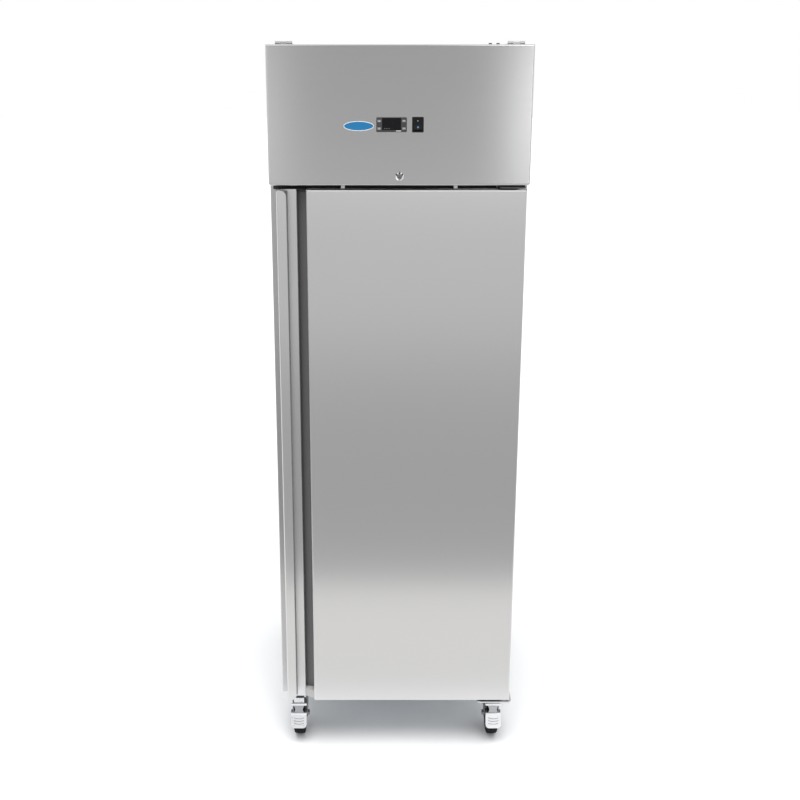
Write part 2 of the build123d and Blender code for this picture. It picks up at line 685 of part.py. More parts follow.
def handle_end_caps():
    """Sloped plugs that close both ends of the channel, with the end plates of the rail."""
    caps = []
    grip = FRONT + GRIP_DEPTH
    outline = [
        (GRIP_RIGHT, grip),
        (PANEL_LEFT, FRONT + 11),
        (PANEL_LEFT, CHANNEL_BACK),
        (GRIP_RIGHT, CHANNEL_BACK),
    ]
    low, high = DOOR_BOTTOM + SHEET, DOOR_TOP - SHEET
    for z0, z1, plate in ((low, low + END_CAP_HEIGHT, DOOR_BOTTOM), (high - TOP_CAP_HEIGHT, high, high)):
        plug = upright_prism(outline, z0, z1)
        plug += box(DOOR_LEFT, PANEL_LEFT, grip, FRONT + DOOR_THICK, plate, plate + SHEET)
        caps.append(plug)
    return Compound(caps)


def door_hinge_bushes():
    """Flanged nylon bushes in the door's lower and upper ends."""
    lower = cylinder_z(PIVOT_X, PIVOT_Y, DOOR_BOTTOM, DOOR_BOTTOM + 22, BUSH_RADIUS)
    lower += cylinder_z(PIVOT_X, PIVOT_Y, CABINET_BOTTOM + CLEAR, DOOR_BOTTOM, BUSH_FLANGE)
    lower -= cylinder_z(PIVOT_X, PIVOT_Y, DOOR_BOTTOM - 9, DOOR_BOTTOM + 18, PIN_RADIUS + RUNNING)
    upper = cylinder_z(PIVOT_X, PIVOT_Y, DOOR_TOP - 22, DOOR_TOP, BUSH_RADIUS)
    upper += cylinder_z(PIVOT_X, PIVOT_Y, DOOR_TOP, DOOR_TOP + 3 - CLEAR, BUSH_FLANGE)
    upper -= cylinder_z(PIVOT_X, PIVOT_Y, DOOR_TOP - 18, DOOR_TOP + 9, PIN_RADIUS + RUNNING)
    return Compound([lower, upper])


# ---------------------------------------------------------------- header panel
def header_panel():
    """Front pan of the machine compartment; it lifts on two hinges along its top."""
    back = FRONT + HEADER_DEPTH
    outer = box(-HALF, HALF, FRONT, back, HEADER_BOTTOM, HEADER_TOP)
    outer = fillet(outer.edges().filter_by(Axis.Y).group_by(Axis.Z)[0], HEADER_CORNER)
    outer = fillet(outer.faces().sort_by(Axis.Y)[0].edges(), HEADER_BEND)
    inner = box(-HALF + SHEET, HALF - SHEET, FRONT + SHEET, back + 1, HEADER_BOTTOM + SHEET, HEADER_TOP - SHEET)
    inner = fillet(inner.edges().filter_by(Axis.Y).group_by(Axis.Z)[0], HEADER_CORNER - SHEET)
    inner = fillet(inner.faces().sort_by(Axis.Y)[0].edges(), HEADER_BEND - SHEET)
    pan = outer - inner
    side = HALF - 9
    pan -= box(-side, side, FRONT + HEADER_LIP, back + 1, HEADER_BOTTOM - 1, HEADER_BOTTOM + 4)
    pan -= box(-side, side, FRONT + HEADER_TOP_LIP, back + 1, HEADER_TOP - 4, HEADER_TOP + 1)
    for x in (-TAB_X, TAB_X):
        pan += box(x - 5, x + 5, FRONT + 8, FRONT + 9.5, HEADER_BOTTOM - 8, HEADER_BOTTOM + 1)
    for x0, x1 in FLAP_SPANS:
        pan += flap_leaf(x0 + FLAP_KNUCKLE + CLEAR, x1 - FLAP_KNUCKLE - CLEAR)
    width, height = CONTROL_SIZE
    cuts = front_prism(Rectangle(width - 7.6, height - 7.6), CONTROL_X, CONTROL_Z, FRONT - 1, FRONT + 3)
    width, height = SWITCH_SIZE
    cuts += front_prism(Rectangle(width - 5.6, height - 5.6), SWITCH_X, CONTROL_Z, FRONT - 1, FRONT + 3)
    cuts += cylinder_y(LOCK_X, LOCK_Z, FRONT - 1, FRONT + 3, LOCK_BARREL + 0.1)
    return pan - cuts


def flap_leaf(x0, x1):
    """Moving hinge leaf and knuckle, welded on the pan's top fold."""
    y = FRONT + FLAP_DEPTH
    leaf = box(x0, x1, FRONT + 8, y, HEADER_TOP, HEADER_TOP + SHEET)
    knuckle = cylinder_x(y, FLAP_Z, x0, x1, FLAP_RADIUS)
    return leaf + knuckle - cylinder_x(y, FLAP_Z, x0 - 1, x1 + 1, FLAP_PIN + RUNNING)


def key_spots():
    half_x, half_z = KEY_PITCH[0] / 2, KEY_PITCH[1] / 2
    return [(CONTROL_X + sx * half_x, CONTROL_Z + sz * half_z) for sz in (1, -1) for sx in (-1, 1)]


def controller_housing():
    """Bezel and case of the temperature controller."""
    width, height = CONTROL_SIZE
    bezel = front_prism(RectangleRounded(width, height, 2.5), CONTROL_X, CONTROL_Z, FRONT - 5, FRONT)
    bezel = fillet(bezel.faces().sort_by(Axis.Y)[0].edges(), 1.2)
    case = front_prism(Rectangle(width - 8, height - 8), CONTROL_X, CONTROL_Z, FRONT, FRONT + 48)
    pocket = front_prism(Rectangle(*WINDOW_SIZE), CONTROL_X, CONTROL_Z + 2, FRONT - 6, FRONT - 3.5)
    housing = bezel + case - pocket
    for x, z in key_spots():
        opening = Rectangle(KEY_SIZE[0] + 2 * CLEAR, KEY_SIZE[1] + 2 * CLEAR)
        housing -= front_prism(opening, x, z, FRONT - 6, FRONT - 1)
    return housing


def controller_window():
    window = front_prism(Rectangle(*WINDOW_SIZE), CONTROL_X, CONTROL_Z + 2, FRONT - 5.3, FRONT - 3.5)
    return fillet(window.faces().sort_by(Axis.Y)[0].edges(), 0.4)


def controller_key(x, z):
    key = front_prism(RectangleRounded(*KEY_SIZE, 1), x, z, FRONT - 5.8, FRONT - 1.2 - KEY_TRAVEL - CLEAR)
    return fillet(key.faces().sort_by(Axis.Y)[0].edges(), 0.5)


def switch_housing():
    """Frame of the power switch, hollow for the rocker."""
    width, height = SWITCH_SIZE
    bezel = front_prism(RectangleRounded(width, height, 2), SWITCH_X, CONTROL_Z, FRONT - 3, FRONT)
    bezel = fillet(bezel.faces().sort_by(Axis.Y)[0].edges(), 0.8)
    case = front_prism(Rectangle(width - 6, height - 6), SWITCH_X, CONTROL_Z, FRONT, FRONT + 30)
    well = front_prism(Rectangle(21, 31), SWITCH_X, CONTROL_Z, FRONT - 5, FRONT + 15)
    pivot = cylinder_x(FRONT + 3, CONTROL_Z, SWITCH_X - 11.6, SWITCH_X + 11.6, TRUNNION_RADIUS + RUNNING)
    return bezel + case - well - pivot


def switch_rocker():
    """Rocker at rest on one side, on two trunnions."""
    half = 10.2
    outline = [(-8.2, -14), (-6.2, 0), (-8.2, 14), (4, 12), (4, -12)]
    rocker = side_prism(outline, -half, half) + cylinder_x(0, 0, -half - 1.3, half + 1.3, TRUNNION_RADIUS)
    return Pos(SWITCH_X, FRONT + 3, CONTROL_Z) * Rot(-ROCKER_TILT, 0, 0) * rocker


def badge_plate():
    """Blank oval plate."""
    width, height = BADGE_SIZE
    plate = front_prism(Ellipse(width / 2, height / 2), BADGE_X, CONTROL_Z - 3.5, FRONT - 1.6, FRONT)
    return fillet(plate.faces().sort_by(Axis.Y)[0].edges(), 0.7)


def lock_barrel():
    """Round lock body with its bezel in front and its nut behind the sheet."""
    bezel = cylinder_y(LOCK_X, LOCK_Z, FRONT - LOCK_PROUD, FRONT, LOCK_RADIUS)
    bezel = fillet(bezel.faces().sort_by(Axis.Y)[0].edges(), 3)
    barrel = cylinder_y(LOCK_X, LOCK_Z, FRONT, FRONT + 16, LOCK_BARREL)
    nut = hexagon_y(LOCK_X, LOCK_Z, FRONT + SHEET, FRONT + 5, 14)
    bore = cylinder_y(LOCK_X, LOCK_Z, FRONT - 20, FRONT + 30, PLUG_RADIUS + RUNNING)
    return bezel + barrel + nut - bore


def lock_cam():
    """Key plug with the cam behind it; at rest the cam lies level, unlocked."""
    plug = cylinder_y(LOCK_X, LOCK_Z, FRONT - LOCK_PROUD + 1, FRONT + CAM_DEPTH, PLUG_RADIUS)
    keyway = front_prism(SlotOverall(7.5, 1.6), LOCK_X, LOCK_Z, FRONT - LOCK_PROUD, FRONT - LOCK_PROUD + 7)
    y0 = FRONT + CAM_DEPTH
    low = LOCK_Z - CAM_WIDTH / 2
    blade = box(LOCK_X, LOCK_X + CAM_LENGTH, y0, y0 + CAM_THICK, low, low + CAM_WIDTH)
    blade = fillet(blade.edges().filter_by(Axis.Y).group_by(Axis.X)[-1], 5)
    hub = cylinder_y(LOCK_X, LOCK_Z, y0, y0 + CAM_THICK, 10)
    return plug - keyway + blade + hub


# ---------------------------------------------------------------- casters
def caster_spots():
    """Swivel axes: front left, front right, rear left, rear right."""
    return [(side * CASTER_X, y) for y in CASTER_Y for side in (-1, 1)]


def caster_fork(x, y, braked):
    """Crown with kingpin, two legs and the wheel's axle."""
    crown = cylinder_z(0, 0, CROWN_TOP - 8.4, CROWN_TOP, 29)
    crown += cylinder_z(0, 0, CROWN_TOP, CABINET_BOTTOM - BRACKET_THICK - 0.4, KINGPIN_RADIUS)
    inner = WHEEL_WIDTH / 2 + 3
    for side in (-1, 1):
        x0, x1 = sorted((side * inner, side * (inner + 3)))
        crown += fork_leg(x0, x1)
        if braked:
            ear = [(-24, CROWN_TOP - 18), (-66, 127), (-66, 139), (-24, CROWN_TOP - 6)]
            crown += side_prism(ear, x0, x1)
        nut = Rot(0, 90, 0) * extrude(RegularPolygon(9, 6), 5.5)
        crown += Pos(min(side * (inner + 3), side * (inner + 8.5)), -TRAIL, WHEEL_RADIUS) * nut
    crown += cylinder_x(-TRAIL, WHEEL_RADIUS, -inner - 1, inner + 1, AXLE_RADIUS)
    if braked:
        crown += cylinder_x(*PEDAL_PIVOT, -inner - 3, inner + 3, 2.5)
    return Pos(x, y, 0) * crown


def fork_leg(x0, x1):
    """Leg that narrows from the crown down to the axle."""
    top = CROWN_TOP - 6
    reach = 26.0
    low = WHEEL_RADIUS
    outline = [(-TRAIL - 13, low), (-TRAIL - 9, low - 9), (-TRAIL, low - 13), (-TRAIL + 9, low - 9),
               (-TRAIL + 13, low), (reach, top - 14), (reach, top), (-reach - 4, top), (-reach - 14, top - 14)]
    return side_prism(outline, x0, x1)


def caster_wheel(x, y):
    half = WHEEL_WIDTH / 2
    wheel = cylinder_x(0, 0, -half, half, WHEEL_RADIUS)
    wheel = fillet(wheel.edges().filter_by(GeomType.CIRCLE), 5)
    for side in (-1, 1):
        x0, x1 = sorted((side * (half - 5), side * (half + 1)))
        wheel -= cylinder_x(0, 0, x0, x1, 44) - cylinder_x(0, 0, x0, x1, 17)
    wheel += cylinder_x(0, 0, -half - 2.5, half + 2.5, 12)
    wheel -= cylinder_x(0, 0, -half - 5, half + 5, AXLE_RADIUS + RUNNING)
    return Pos(x, y - TRAIL, WHEEL_RADIUS) * wheel


def brake_pedal(x, y):
    """Foot pedal: hub, top plate, release tab, bar, waisted neck and ribbed tread with rounded ends."""
    py, pz = PEDAL_PIVOT
    hub_half = WHEEL_WIDTH / 2 + 2.4
    hub = cylinder_x(py, pz, -hub_half, hub_half, 5.5)
    top = side_prism([(py, pz + 1), (py, pz + 4.5), (-90, 130), (-94, 127), (-92, 124)], -hub_half, hub_half)
    tab = side_prism([(-84, 129), (-87, 143), (-89, 143), (-90, 129)], -TAB_HALF, TAB_HALF)
    bar = side_prism([(-90, 129), (-95, 128), (-97, 120), (-94, 119), (-92, 123)], -PEDAL_HALF, PEDAL_HALF)
    neck = side_prism([(-92, 124), (-97, 123), (-107, 99), (-104, 98)], -NECK_HALF, NECK_HALF)
    shoulder = side_prism([(-102, 104), (-107.5, 103), (-109.5, 97), (-105, 95)], -PEDAL_HALF, PEDAL_HALF)
    tread = side_prism([(-104, 99), (-107, 100), (-121.5, 60), (-119, 58)], -PEDAL_HALF, PEDAL_HALF)
    tread &= front_prism(RectangleRounded(2 * PEDAL_HALF, 60, PEDAL_CORNER), 0, 89, -127, -98)
    pedal = hub + top + tab + bar + neck + shoulder + tread
    for fraction in (0.35, 0.55, 0.75):
        ridge_y, ridge_z = -107 - 14.5 * fraction, 100 - 40 * fraction
        pedal += cylinder_x(ridge_y, ridge_z, -18, 18, 2)
    return Pos(x, y, 0) * (pedal - cylinder_x(py, pz, -30, 30, 2.5 + RUNNING))


def caster_pieces():
    pieces = {}
    names = ("front_left", "front_right", "rear_left", "rear_right")
    for name, (x, y) in zip(names, caster_spots()):
        braked = name.startswith("front")
        pieces["caster_fork_" + name] = caster_fork(x, y, braked)
        pieces["caster_wheel_" + name] = caster_wheel(x, y)
        if braked:
            pieces["brake_pedal_" + name.split("_")[1]] = brake_pedal(x, y)
    return pieces


def all_pieces():
    makers = [
        base_pan, top_deck, back_panel, rear_guard, foam_insulation, inner_liner, breaker_frame, header_rail,
        lower_hinge_bracket, upper_hinge_bracket, cabinet_screws, caster_plates, cord_gland, shelf_supports,
        evaporator_cover, evaporator_coil, evaporator_fan_motor, evaporator_fan_blade, condenser_coil,
        condenser_fan_shroud, condenser_fan_motor, condenser_fan_blade, compressor, electrical_box,
        refrigerant_tubes, door_skin, door_foam, door_inner_panel, door_gasket, handle_rail, handle_channel,
        handle_end_caps, door_hinge_bushes, header_panel, controller_housing, controller_window,
        switch_housing, switch_rocker, badge_plate, lock_barrel, lock_cam,
    ]
    pieces = {maker.__name__: maker() for maker in makers}
    pieces["side_panel_left"] = side_panel(-1)
    pieces["side_panel_right"] = side_panel(1)
    shelf = wire_shelf(SHELF_HEIGHTS[0])
    for name, height in zip(("bottom", "middle", "top"), SHELF_HEIGHTS):
        pieces["wire_shelf_" + name] = Pos(0, 0, height - SHELF_HEIGHTS[0]) * shelf
    for number, (x, z) in enumerate(key_spots(), start=1):
        pieces[f"controller_key_{number}"] = controller_key(x, z)
    pieces.update(caster_pieces())
    return pieces


def main():
    os.makedirs("parts", exist_ok=True)
    for name, shape in all_pieces().items():
        export_step(shape, f"parts/{name}.step")


main()
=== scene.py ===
"""Looks of the one-door reach-in refrigerator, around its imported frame. Metres, +Z up, door towards -Y."""
import json
import math

import bmesh
import bpy
from mathutils import Matrix, Vector


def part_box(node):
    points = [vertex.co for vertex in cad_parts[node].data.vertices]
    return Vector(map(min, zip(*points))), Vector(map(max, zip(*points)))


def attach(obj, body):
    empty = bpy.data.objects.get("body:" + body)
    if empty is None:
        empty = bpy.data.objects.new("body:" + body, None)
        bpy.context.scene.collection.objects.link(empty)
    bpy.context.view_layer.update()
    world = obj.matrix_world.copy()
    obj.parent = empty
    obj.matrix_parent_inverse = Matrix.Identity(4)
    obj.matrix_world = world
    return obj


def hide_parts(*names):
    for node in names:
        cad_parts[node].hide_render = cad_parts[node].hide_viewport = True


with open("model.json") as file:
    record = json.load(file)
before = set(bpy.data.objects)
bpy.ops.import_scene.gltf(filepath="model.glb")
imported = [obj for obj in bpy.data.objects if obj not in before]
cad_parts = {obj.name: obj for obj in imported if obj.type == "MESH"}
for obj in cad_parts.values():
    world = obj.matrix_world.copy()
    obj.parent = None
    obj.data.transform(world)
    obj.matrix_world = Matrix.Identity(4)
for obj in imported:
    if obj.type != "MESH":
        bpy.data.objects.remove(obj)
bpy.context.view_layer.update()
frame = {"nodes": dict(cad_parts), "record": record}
nodes = frame["nodes"]
SLOT_OF = {s["node"]: s["material_slot"] for s in frame["record"]["subparts"]}
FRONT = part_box("door_skin")[0].y


# ---------------------------------------------------------------- shader nodes
def feed(tree, socket, value):
    """Link the input to another node's output, or set it to a plain value."""
    if isinstance(value, bpy.types.NodeSocket):
        tree.links.new(value, socket)
    else:
        socket.default_value = value


def math_node(tree, operation, *values):
    """Math node with its inputs fed in order."""
    node = tree.nodes.new("ShaderNodeMath")
    node.operation = operation
    for socket, value in zip(node.inputs, values):
        feed(tree, socket, value)
    return node.outputs["Value"]


def map_range(tree, value, low, high, start=0.0, end=1.0, smooth=False):
    """Map a value from low..high onto start..end, held at both ends."""
    node = tree.nodes.new("ShaderNodeMapRange")
    if smooth:
        node.interpolation_type = "SMOOTHSTEP"
    numbers = {"Value": value, "From Min": low, "From Max": high, "To Min": start, "To Max": end}
    for name, number in numbers.items():
        feed(tree, node.inputs[name], number)
    return node.outputs["Result"]


# ---------------------------------------------------------------- camera and light
PHOTO_SIZE = 800
FOCAL_PIXELS = 1200.0
SENSOR = 36.0
CAMERA_TILT = math.radians(16.73)
CAMERA_DISTANCE = 3.170
CAMERA_X = -0.063
CAMERA_Z = 2.055
CAMERA_RANGE = 60
SHIFT_X = 0.0309


def add_camera():
    """Camera in front of the door, above it and looking down."""
    data = bpy.data.cameras.new("camera")
    data.sensor_width = SENSOR
    data.lens = FOCAL_PIXELS * SENSOR / PHOTO_SIZE
    data.shift_x = SHIFT_X
    data.clip_end = CAMERA_RANGE
    camera = bpy.data.objects.new("camera", data)
    camera.location = (CAMERA_X, FRONT - CAMERA_DISTANCE, CAMERA_Z)
    camera.rotation_euler = (math.pi / 2 - CAMERA_TILT, 0, 0)
    bpy.context.scene.collection.objects.link(camera)
    bpy.context.scene.camera = camera


SUN_STRENGTH = 2.43
SUN_LEAN = math.radians(22)
SUN_SPREAD = math.radians(36)
SUN_COLOR = (1.0, 0.97, 0.93)


def add_sun():
    """Soft light from overhead, leaning towards the front, and not mirrored in the steel."""
    data = bpy.data.lights.new("overhead", "SUN")
    data.energy = SUN_STRENGTH
    data.angle = SUN_SPREAD
    data.color = SUN_COLOR
    light = bpy.data.objects.new("overhead", data)
    light.rotation_euler = (SUN_LEAN, 0, 0)
    light.visible_glossy = False
    bpy.context.scene.collection.objects.link(light)


# Directions in the studio are slopes: sideways or upwards, over the distance ahead of the door.
GAP_LEFT = -0.115            # sides of the darker gap between the studio's two bright panels
GAP_RIGHT = 0.150
GAP_CLOSING = 0.045          # how much nearer the gap's sides are a little below eye level
CLOSING_TOP = (-0.06, 0.02)  # slopes over which the sides draw in, and over which they spread again
CLOSING_FOOT = (-0.125, -0.07)
GAP_SOFTNESS = 0.018
GAP_TONE = 0.475
LEFT_TONE = 1.25
RIGHT_TONE = 2.4
OUTER_SLOPE = 0.48           # where the bright panels end, towards the sides
OUTER_SOFTNESS = 0.15
OUTER_TONE = 0.75
LOWER_SLOPE = -0.095         # below this slope the studio wall has no panels and grows paler downwards
LOWER_TONE = 0.58
LOWEST_TONE = 0.86
LEVEL_SOFTNESS = 0.02
FAR_FLOOR_SLOPE = -0.26      # below this slope the studio's darker floor is seen
FAR_FLOOR_TONE = 0.50
AHEAD = (-0.55, -0.25)       # the Y of directions between which the pattern fades into plain white
LEAST_AHEAD = 0.02


def add_world():
    """White studio that gives the steel its tones; the camera itself sees it plain white.

    Ahead of the door are a darker gap between two bright panels, a plain lower wall and a darker far floor.
    """
    world = bpy.data.worlds.new("studio")
    world.use_nodes = True
    tree = world.node_tree
    background = tree.nodes["Background"]

    def maths(operation, first, second):
        return math_node(tree, operation, first, second)

    def step(value, bounds, start, end):
        return map_range(tree, value, *bounds, start, end, smooth=True)

    def about(edge, softness):
        return edge - softness, edge + softness

    direction = tree.nodes.new("ShaderNodeTexCoord").outputs["Generated"]
    split = tree.nodes.new("ShaderNodeSeparateXYZ")
    tree.links.new(direction, split.inputs["Vector"])
    forward = maths("MAXIMUM", maths("MULTIPLY", split.outputs["Y"], -1.0), LEAST_AHEAD)
    sideways = maths("DIVIDE", split.outputs["X"], forward)
    slope = maths("DIVIDE", split.outputs["Z"], forward)
    closing = maths("MULTIPLY", step(slope, CLOSING_TOP, GAP_CLOSING, 0.0),
                    step(slope, CLOSING_FOOT, 0.0, 1.0))
    left_edge = maths("SUBTRACT", sideways, closing)
    right_edge = maths("ADD", sideways, closing)
    left = step(left_edge, about(GAP_LEFT, GAP_SOFTNESS), LEFT_TONE - GAP_TONE, 0.0)
    right = step(right_edge, about(GAP_RIGHT, GAP_SOFTNESS), 0.0, RIGHT_TONE - GAP_TONE)
    outer_left = step(sideways, about(-OUTER_SLOPE, OUTER_SOFTNESS), OUTER_TONE - LEFT_TONE, 0.0)
    outer_right = step(sideways, about(OUTER_SLOPE, OUTER_SOFTNESS), 0.0, OUTER_TONE - RIGHT_TONE)
    outer = maths("ADD", outer_left, outer_right)
    panels = maths("ADD", maths("ADD", maths("MAXIMUM", left, right), outer), GAP_TONE)
    upper = step(slope, about(LOWER_SLOPE, LEVEL_SOFTNESS), 0.0, 1.0)
    lower = step(slope, (FAR_FLOOR_SLOPE, LOWER_SLOPE), LOWEST_TONE, LOWER_TONE)
    wall = maths("ADD", maths("MULTIPLY", maths("SUBTRACT", panels, lower), upper), lower)
    above = step(slope, about(FAR_FLOOR_SLOPE, LEVEL_SOFTNESS), 0.0, 1.0)
    lit = maths("MULTIPLY", wall, above)
    dim = maths("MULTIPLY", maths("SUBTRACT", 1.0, above), FAR_FLOOR_TONE)
    facing = step(split.outputs["Y"], AHEAD, 1.0, 0.0)
    toned = maths("MULTIPLY", maths("ADD", lit, dim), facing)
    studio = maths("ADD", toned, maths("SUBTRACT", 1.0, facing))
    seen = tree.nodes.new("ShaderNodeLightPath").outputs["Is Camera Ray"]
    tree.links.new(maths("MAXIMUM", studio, seen), background.inputs["Strength"])
    background.inputs["Color"].default_value = (1, 1, 1, 1)
    bpy.context.scene.world = world


# ---------------------------------------------------------------- materials
class Nodes:
    """Short way to lay out a material's nodes."""

    def __init__(self, name):
        self.material = bpy.data.materials.new(name)
        self.material.use_nodes = True
        self.tree = self.material.node_tree
        self.shader = self.tree.nodes["Principled BSDF"]

    def add(self, kind, **inputs):
        node = self.tree.nodes.new(kind)
        for key, value in inputs.items():
            feed(self.tree, node.inputs[key.replace("_", " ")], value)
        return node

    def set(self, **values):
        for key, value in values.items():
            feed(self.tree, self.shader.inputs[key.replace("_", " ")], value)

    def place(self, axis):
        """One coordinate of the point in the object's own space."""
        vector = self.add("ShaderNodeTexCoord").outputs["Object"]
        return self.add("ShaderNodeSeparateXYZ", Vector=vector).outputs[axis]

    def coordinates(self, scale=(1, 1, 1)):
        vector = self.add("ShaderNodeTexCoord").outputs["Object"]
        return self.add("ShaderNodeMapping", Vector=vector, Scale=scale).outputs["Vector"]

    def noise(self, scale, stretch=(1, 1, 1), detail=4.0, roughness=0.55):
        vector = self.coordinates(stretch)
        node = self.add("ShaderNodeTexNoise", Vector=vector, Scale=scale, Detail=detail, Roughness=roughness)
        return node.outputs["Fac"]

    def color(self, factor, dark, light):
        """Colour the surface between two tones."""
        node = self.add("ShaderNodeMix")
        node.data_type = "RGBA"
        self.tree.links.new(factor, node.inputs["Factor"])
        node.inputs["A"].default_value = (*dark, 1)
        node.inputs["B"].default_value = (*light, 1)
        self.set(Base_Color=node.outputs["Result"])

    def rough(self, factor, low, high):
        """Vary the roughness over low..high with the middle half of a 0..1 factor."""
        self.set(Roughness=map_range(self.tree, factor, 0.25, 0.75, low, high))

    def bump(self, height, strength, distance):
        node = self.add("ShaderNodeBump", Height=height, Strength=strength, Distance=distance)
        self.set(Normal=node.outputs["Normal"])


def scaled(color, factor):
    return tuple(min(1.0, channel * factor) for channel in color)


def brushed(name, color, roughness, grain=(1, 1, 1), streak=0.10, bump=0.03, turn=0.0, lines=420,
            spread_of_roughness=0.05):
    """Sheet metal with fine parallel grinding lines; grain is small along the lines."""
    m = Nodes(name)
    fine = m.noise(lines, grain, detail=3, roughness=0.7)
    broad = m.noise(2.2, detail=2)
    mixed = math_node(m.tree, "MULTIPLY_ADD", fine, 0.8, broad)
    spread = math_node(m.tree, "MULTIPLY", mixed, 0.55)
    m.color(spread, scaled(color, 1 - streak), scaled(color, 1 + streak * 0.5))
    m.rough(fine, roughness - spread_of_roughness, roughness + spread_of_roughness)
    m.set(Metallic=1.0, Anisotropic=0.9, Anisotropic_Rotation=turn)
    m.bump(fine, bump, 0.0002)
    return m.material


def plain_metal(name, color, roughness, speckle=60, bump=0.05, metallic=1.0):
    """Plated or cast metal with a faint mottle."""
    m = Nodes(name)
    mottle = m.noise(speckle, detail=6)
    m.color(mottle, scaled(color, 0.9), scaled(color, 1.05))
    m.rough(mottle, roughness * 0.8, roughness * 1.25)
    m.set(Metallic=metallic)
    m.bump(mottle, bump, 0.0003)
    return m.material


def spangled(name, color):
    """Galvanised sheet with its crystal pattern."""
    m = Nodes(name)
    cells = m.add("ShaderNodeTexVoronoi", Vector=m.coordinates(), Scale=70.0)
    mottle = m.noise(14, detail=3)
    flat = m.add("ShaderNodeSeparateColor", Color=cells.outputs["Color"]).outputs["Red"]
    blend = math_node(m.tree, "MULTIPLY_ADD", flat, 0.5, mottle)
    m.color(blend, scaled(color, 0.82), scaled(color, 1.08))
    m.rough(flat, 0.34, 0.5)
    m.set(Metallic=0.95)
    m.bump(flat, 0.05, 0.0004)
    return m.material


def plastic(name, color, roughness, grain=900, bump=0.12, specular=0.5):
    """Moulded plastic or rubber: fine texture and a slight change of tone."""
    m = Nodes(name)
    fine = m.noise(grain, detail=2)
    broad = m.noise(8, detail=4)
    m.color(broad, scaled(color, 0.88), scaled(color, 1.1))
    m.rough(fine, roughness - 0.05, roughness + 0.07)
    m.set(Specular_IOR_Level=specular)
    m.bump(fine, bump, 0.0002)
    return m.material


def channel_with_painted_shade(name, dark, light, roughness):
    """Dark channel lining with painted shade: darkest at its deep left side, where shade falls, and paler
    towards its right side.
    """
    m = Nodes(name)
    low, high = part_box("handle_channel")
    # painted shade: the colour runs from dark at the channel's left side to paler at its right side
    m.color(map_range(m.tree, m.place("X"), low.x, high.x), dark, light)
    fine = m.noise(900, detail=2)
    m.rough(fine, roughness - 0.05, roughness + 0.07)
    m.bump(fine, 0.1, 0.0002)
    return m.material


def enamel(name, color, roughness):
    """Sprayed paint with a light orange-peel surface."""
    m = Nodes(name)
    peel = m.noise(220, detail=2)
    broad = m.noise(9, detail=4)
    m.color(broad, scaled(color, 0.9), scaled(color, 1.12))
    m.rough(broad, roughness * 0.85, roughness * 1.2)
    m.set(Coat_Weight=0.25)
    m.bump(peel, 0.08, 0.0004)
    return m.material


def foam(name, dark, light):
    """Cut polyurethane foam with its small cells."""
    m = Nodes(name)
    cells = m.add("ShaderNodeTexVoronoi", Vector=m.coordinates(), Scale=900.0)
    m.color(m.noise(25, detail=5), dark, light)
    m.set(Roughness=0.85)
    m.bump(cells.outputs["Distance"], 0.4, 0.0005)
    return m.material


LEVEL_GRAIN = (0.012, 1.0, 1.0)
UPRIGHT_GRAIN = (1.0, 1.0, 0.012)
DEPTH_GRAIN = (1.0, 0.012, 1.0)
STEEL = (0.655, 0.655, 0.66)

MATERIALS = {
    "stainless": brushed("stainless", STEEL, 0.28, UPRIGHT_GRAIN, streak=0.01, bump=0.0008, lines=1500,
                         spread_of_roughness=0.004),
    "side_steel": brushed("side_steel", (0.54, 0.54, 0.545), 0.30, UPRIGHT_GRAIN),
    "galvanised": spangled("galvanised", (0.55, 0.56, 0.57)),
    "liner": brushed("liner", (0.78, 0.79, 0.80), 0.30, DEPTH_GRAIN, streak=0.05),
    "foam": foam("foam", (0.72, 0.60, 0.34), (0.86, 0.77, 0.50)),
    "breaker": plastic("breaker", (0.22, 0.225, 0.23), 0.45),
    "shelf_wire": plain_metal("shelf_wire", (0.74, 0.75, 0.76), 0.22, 90),
    "evaporator_shell": plastic("evaporator_shell", (0.78, 0.79, 0.80), 0.4),
    "fins": brushed("fins", (0.75, 0.76, 0.77), 0.35, (1, 1, 0.05), streak=0.12),
    "motor": enamel("motor", (0.06, 0.06, 0.065), 0.4),
    "fan": plastic("fan", (0.02, 0.02, 0.021), 0.35),
    "compressor_shell": enamel("compressor_shell", (0.012, 0.012, 0.013), 0.25),
    "copper": plain_metal("copper", (0.80, 0.42, 0.26), 0.28, 40),
    "electrical": enamel("electrical", (0.40, 0.41, 0.43), 0.42),
    "hinge_steel": brushed("hinge_steel", (0.62, 0.62, 0.63), 0.30, LEVEL_GRAIN),
    # zinc painted darker than bare plating: painted shade of the caster forks under the cabinet
    "zinc": plain_metal("zinc", (0.24, 0.245, 0.255), 0.34, 120),
    "gasket": plastic("gasket", (0.22, 0.225, 0.23), 0.6),
    # dark channel colour of its own, with painted shade darkening it towards the deep left side
    "channel_dark": channel_with_painted_shade("channel_dark", (0.035, 0.034, 0.034), (0.15, 0.15, 0.153), 0.38),
    "cap_plastic": plastic("cap_plastic", (0.09, 0.09, 0.092), 0.42),
    "nylon": plastic("nylon", (0.80, 0.80, 0.77), 0.4),
    "bezel": plastic("bezel", (0.05, 0.051, 0.053), 0.42, specular=0.3),
    "window": plastic("window", (0.006, 0.006, 0.008), 0.12, grain=200, bump=0.01, specular=0.2),
    "keys": plastic("keys", (0.20, 0.205, 0.21), 0.45),
    "switch_black": plastic("switch_black", (0.006, 0.006, 0.007), 0.3, specular=0.2),
    "badge_blue": plastic("badge_blue", (0.014, 0.175, 0.40), 0.3, grain=300, bump=0.03, specular=0.3),
    "chrome": plain_metal("chrome", (0.82, 0.82, 0.83), 0.09, 50, 0.02),
    "wheel_black": plastic("wheel_black", (0.004, 0.004, 0.0044), 0.6, grain=500, bump=0.25, specular=0.12),
    "gland_black": plastic("gland_black", (0.015, 0.015, 0.015), 0.55),
}

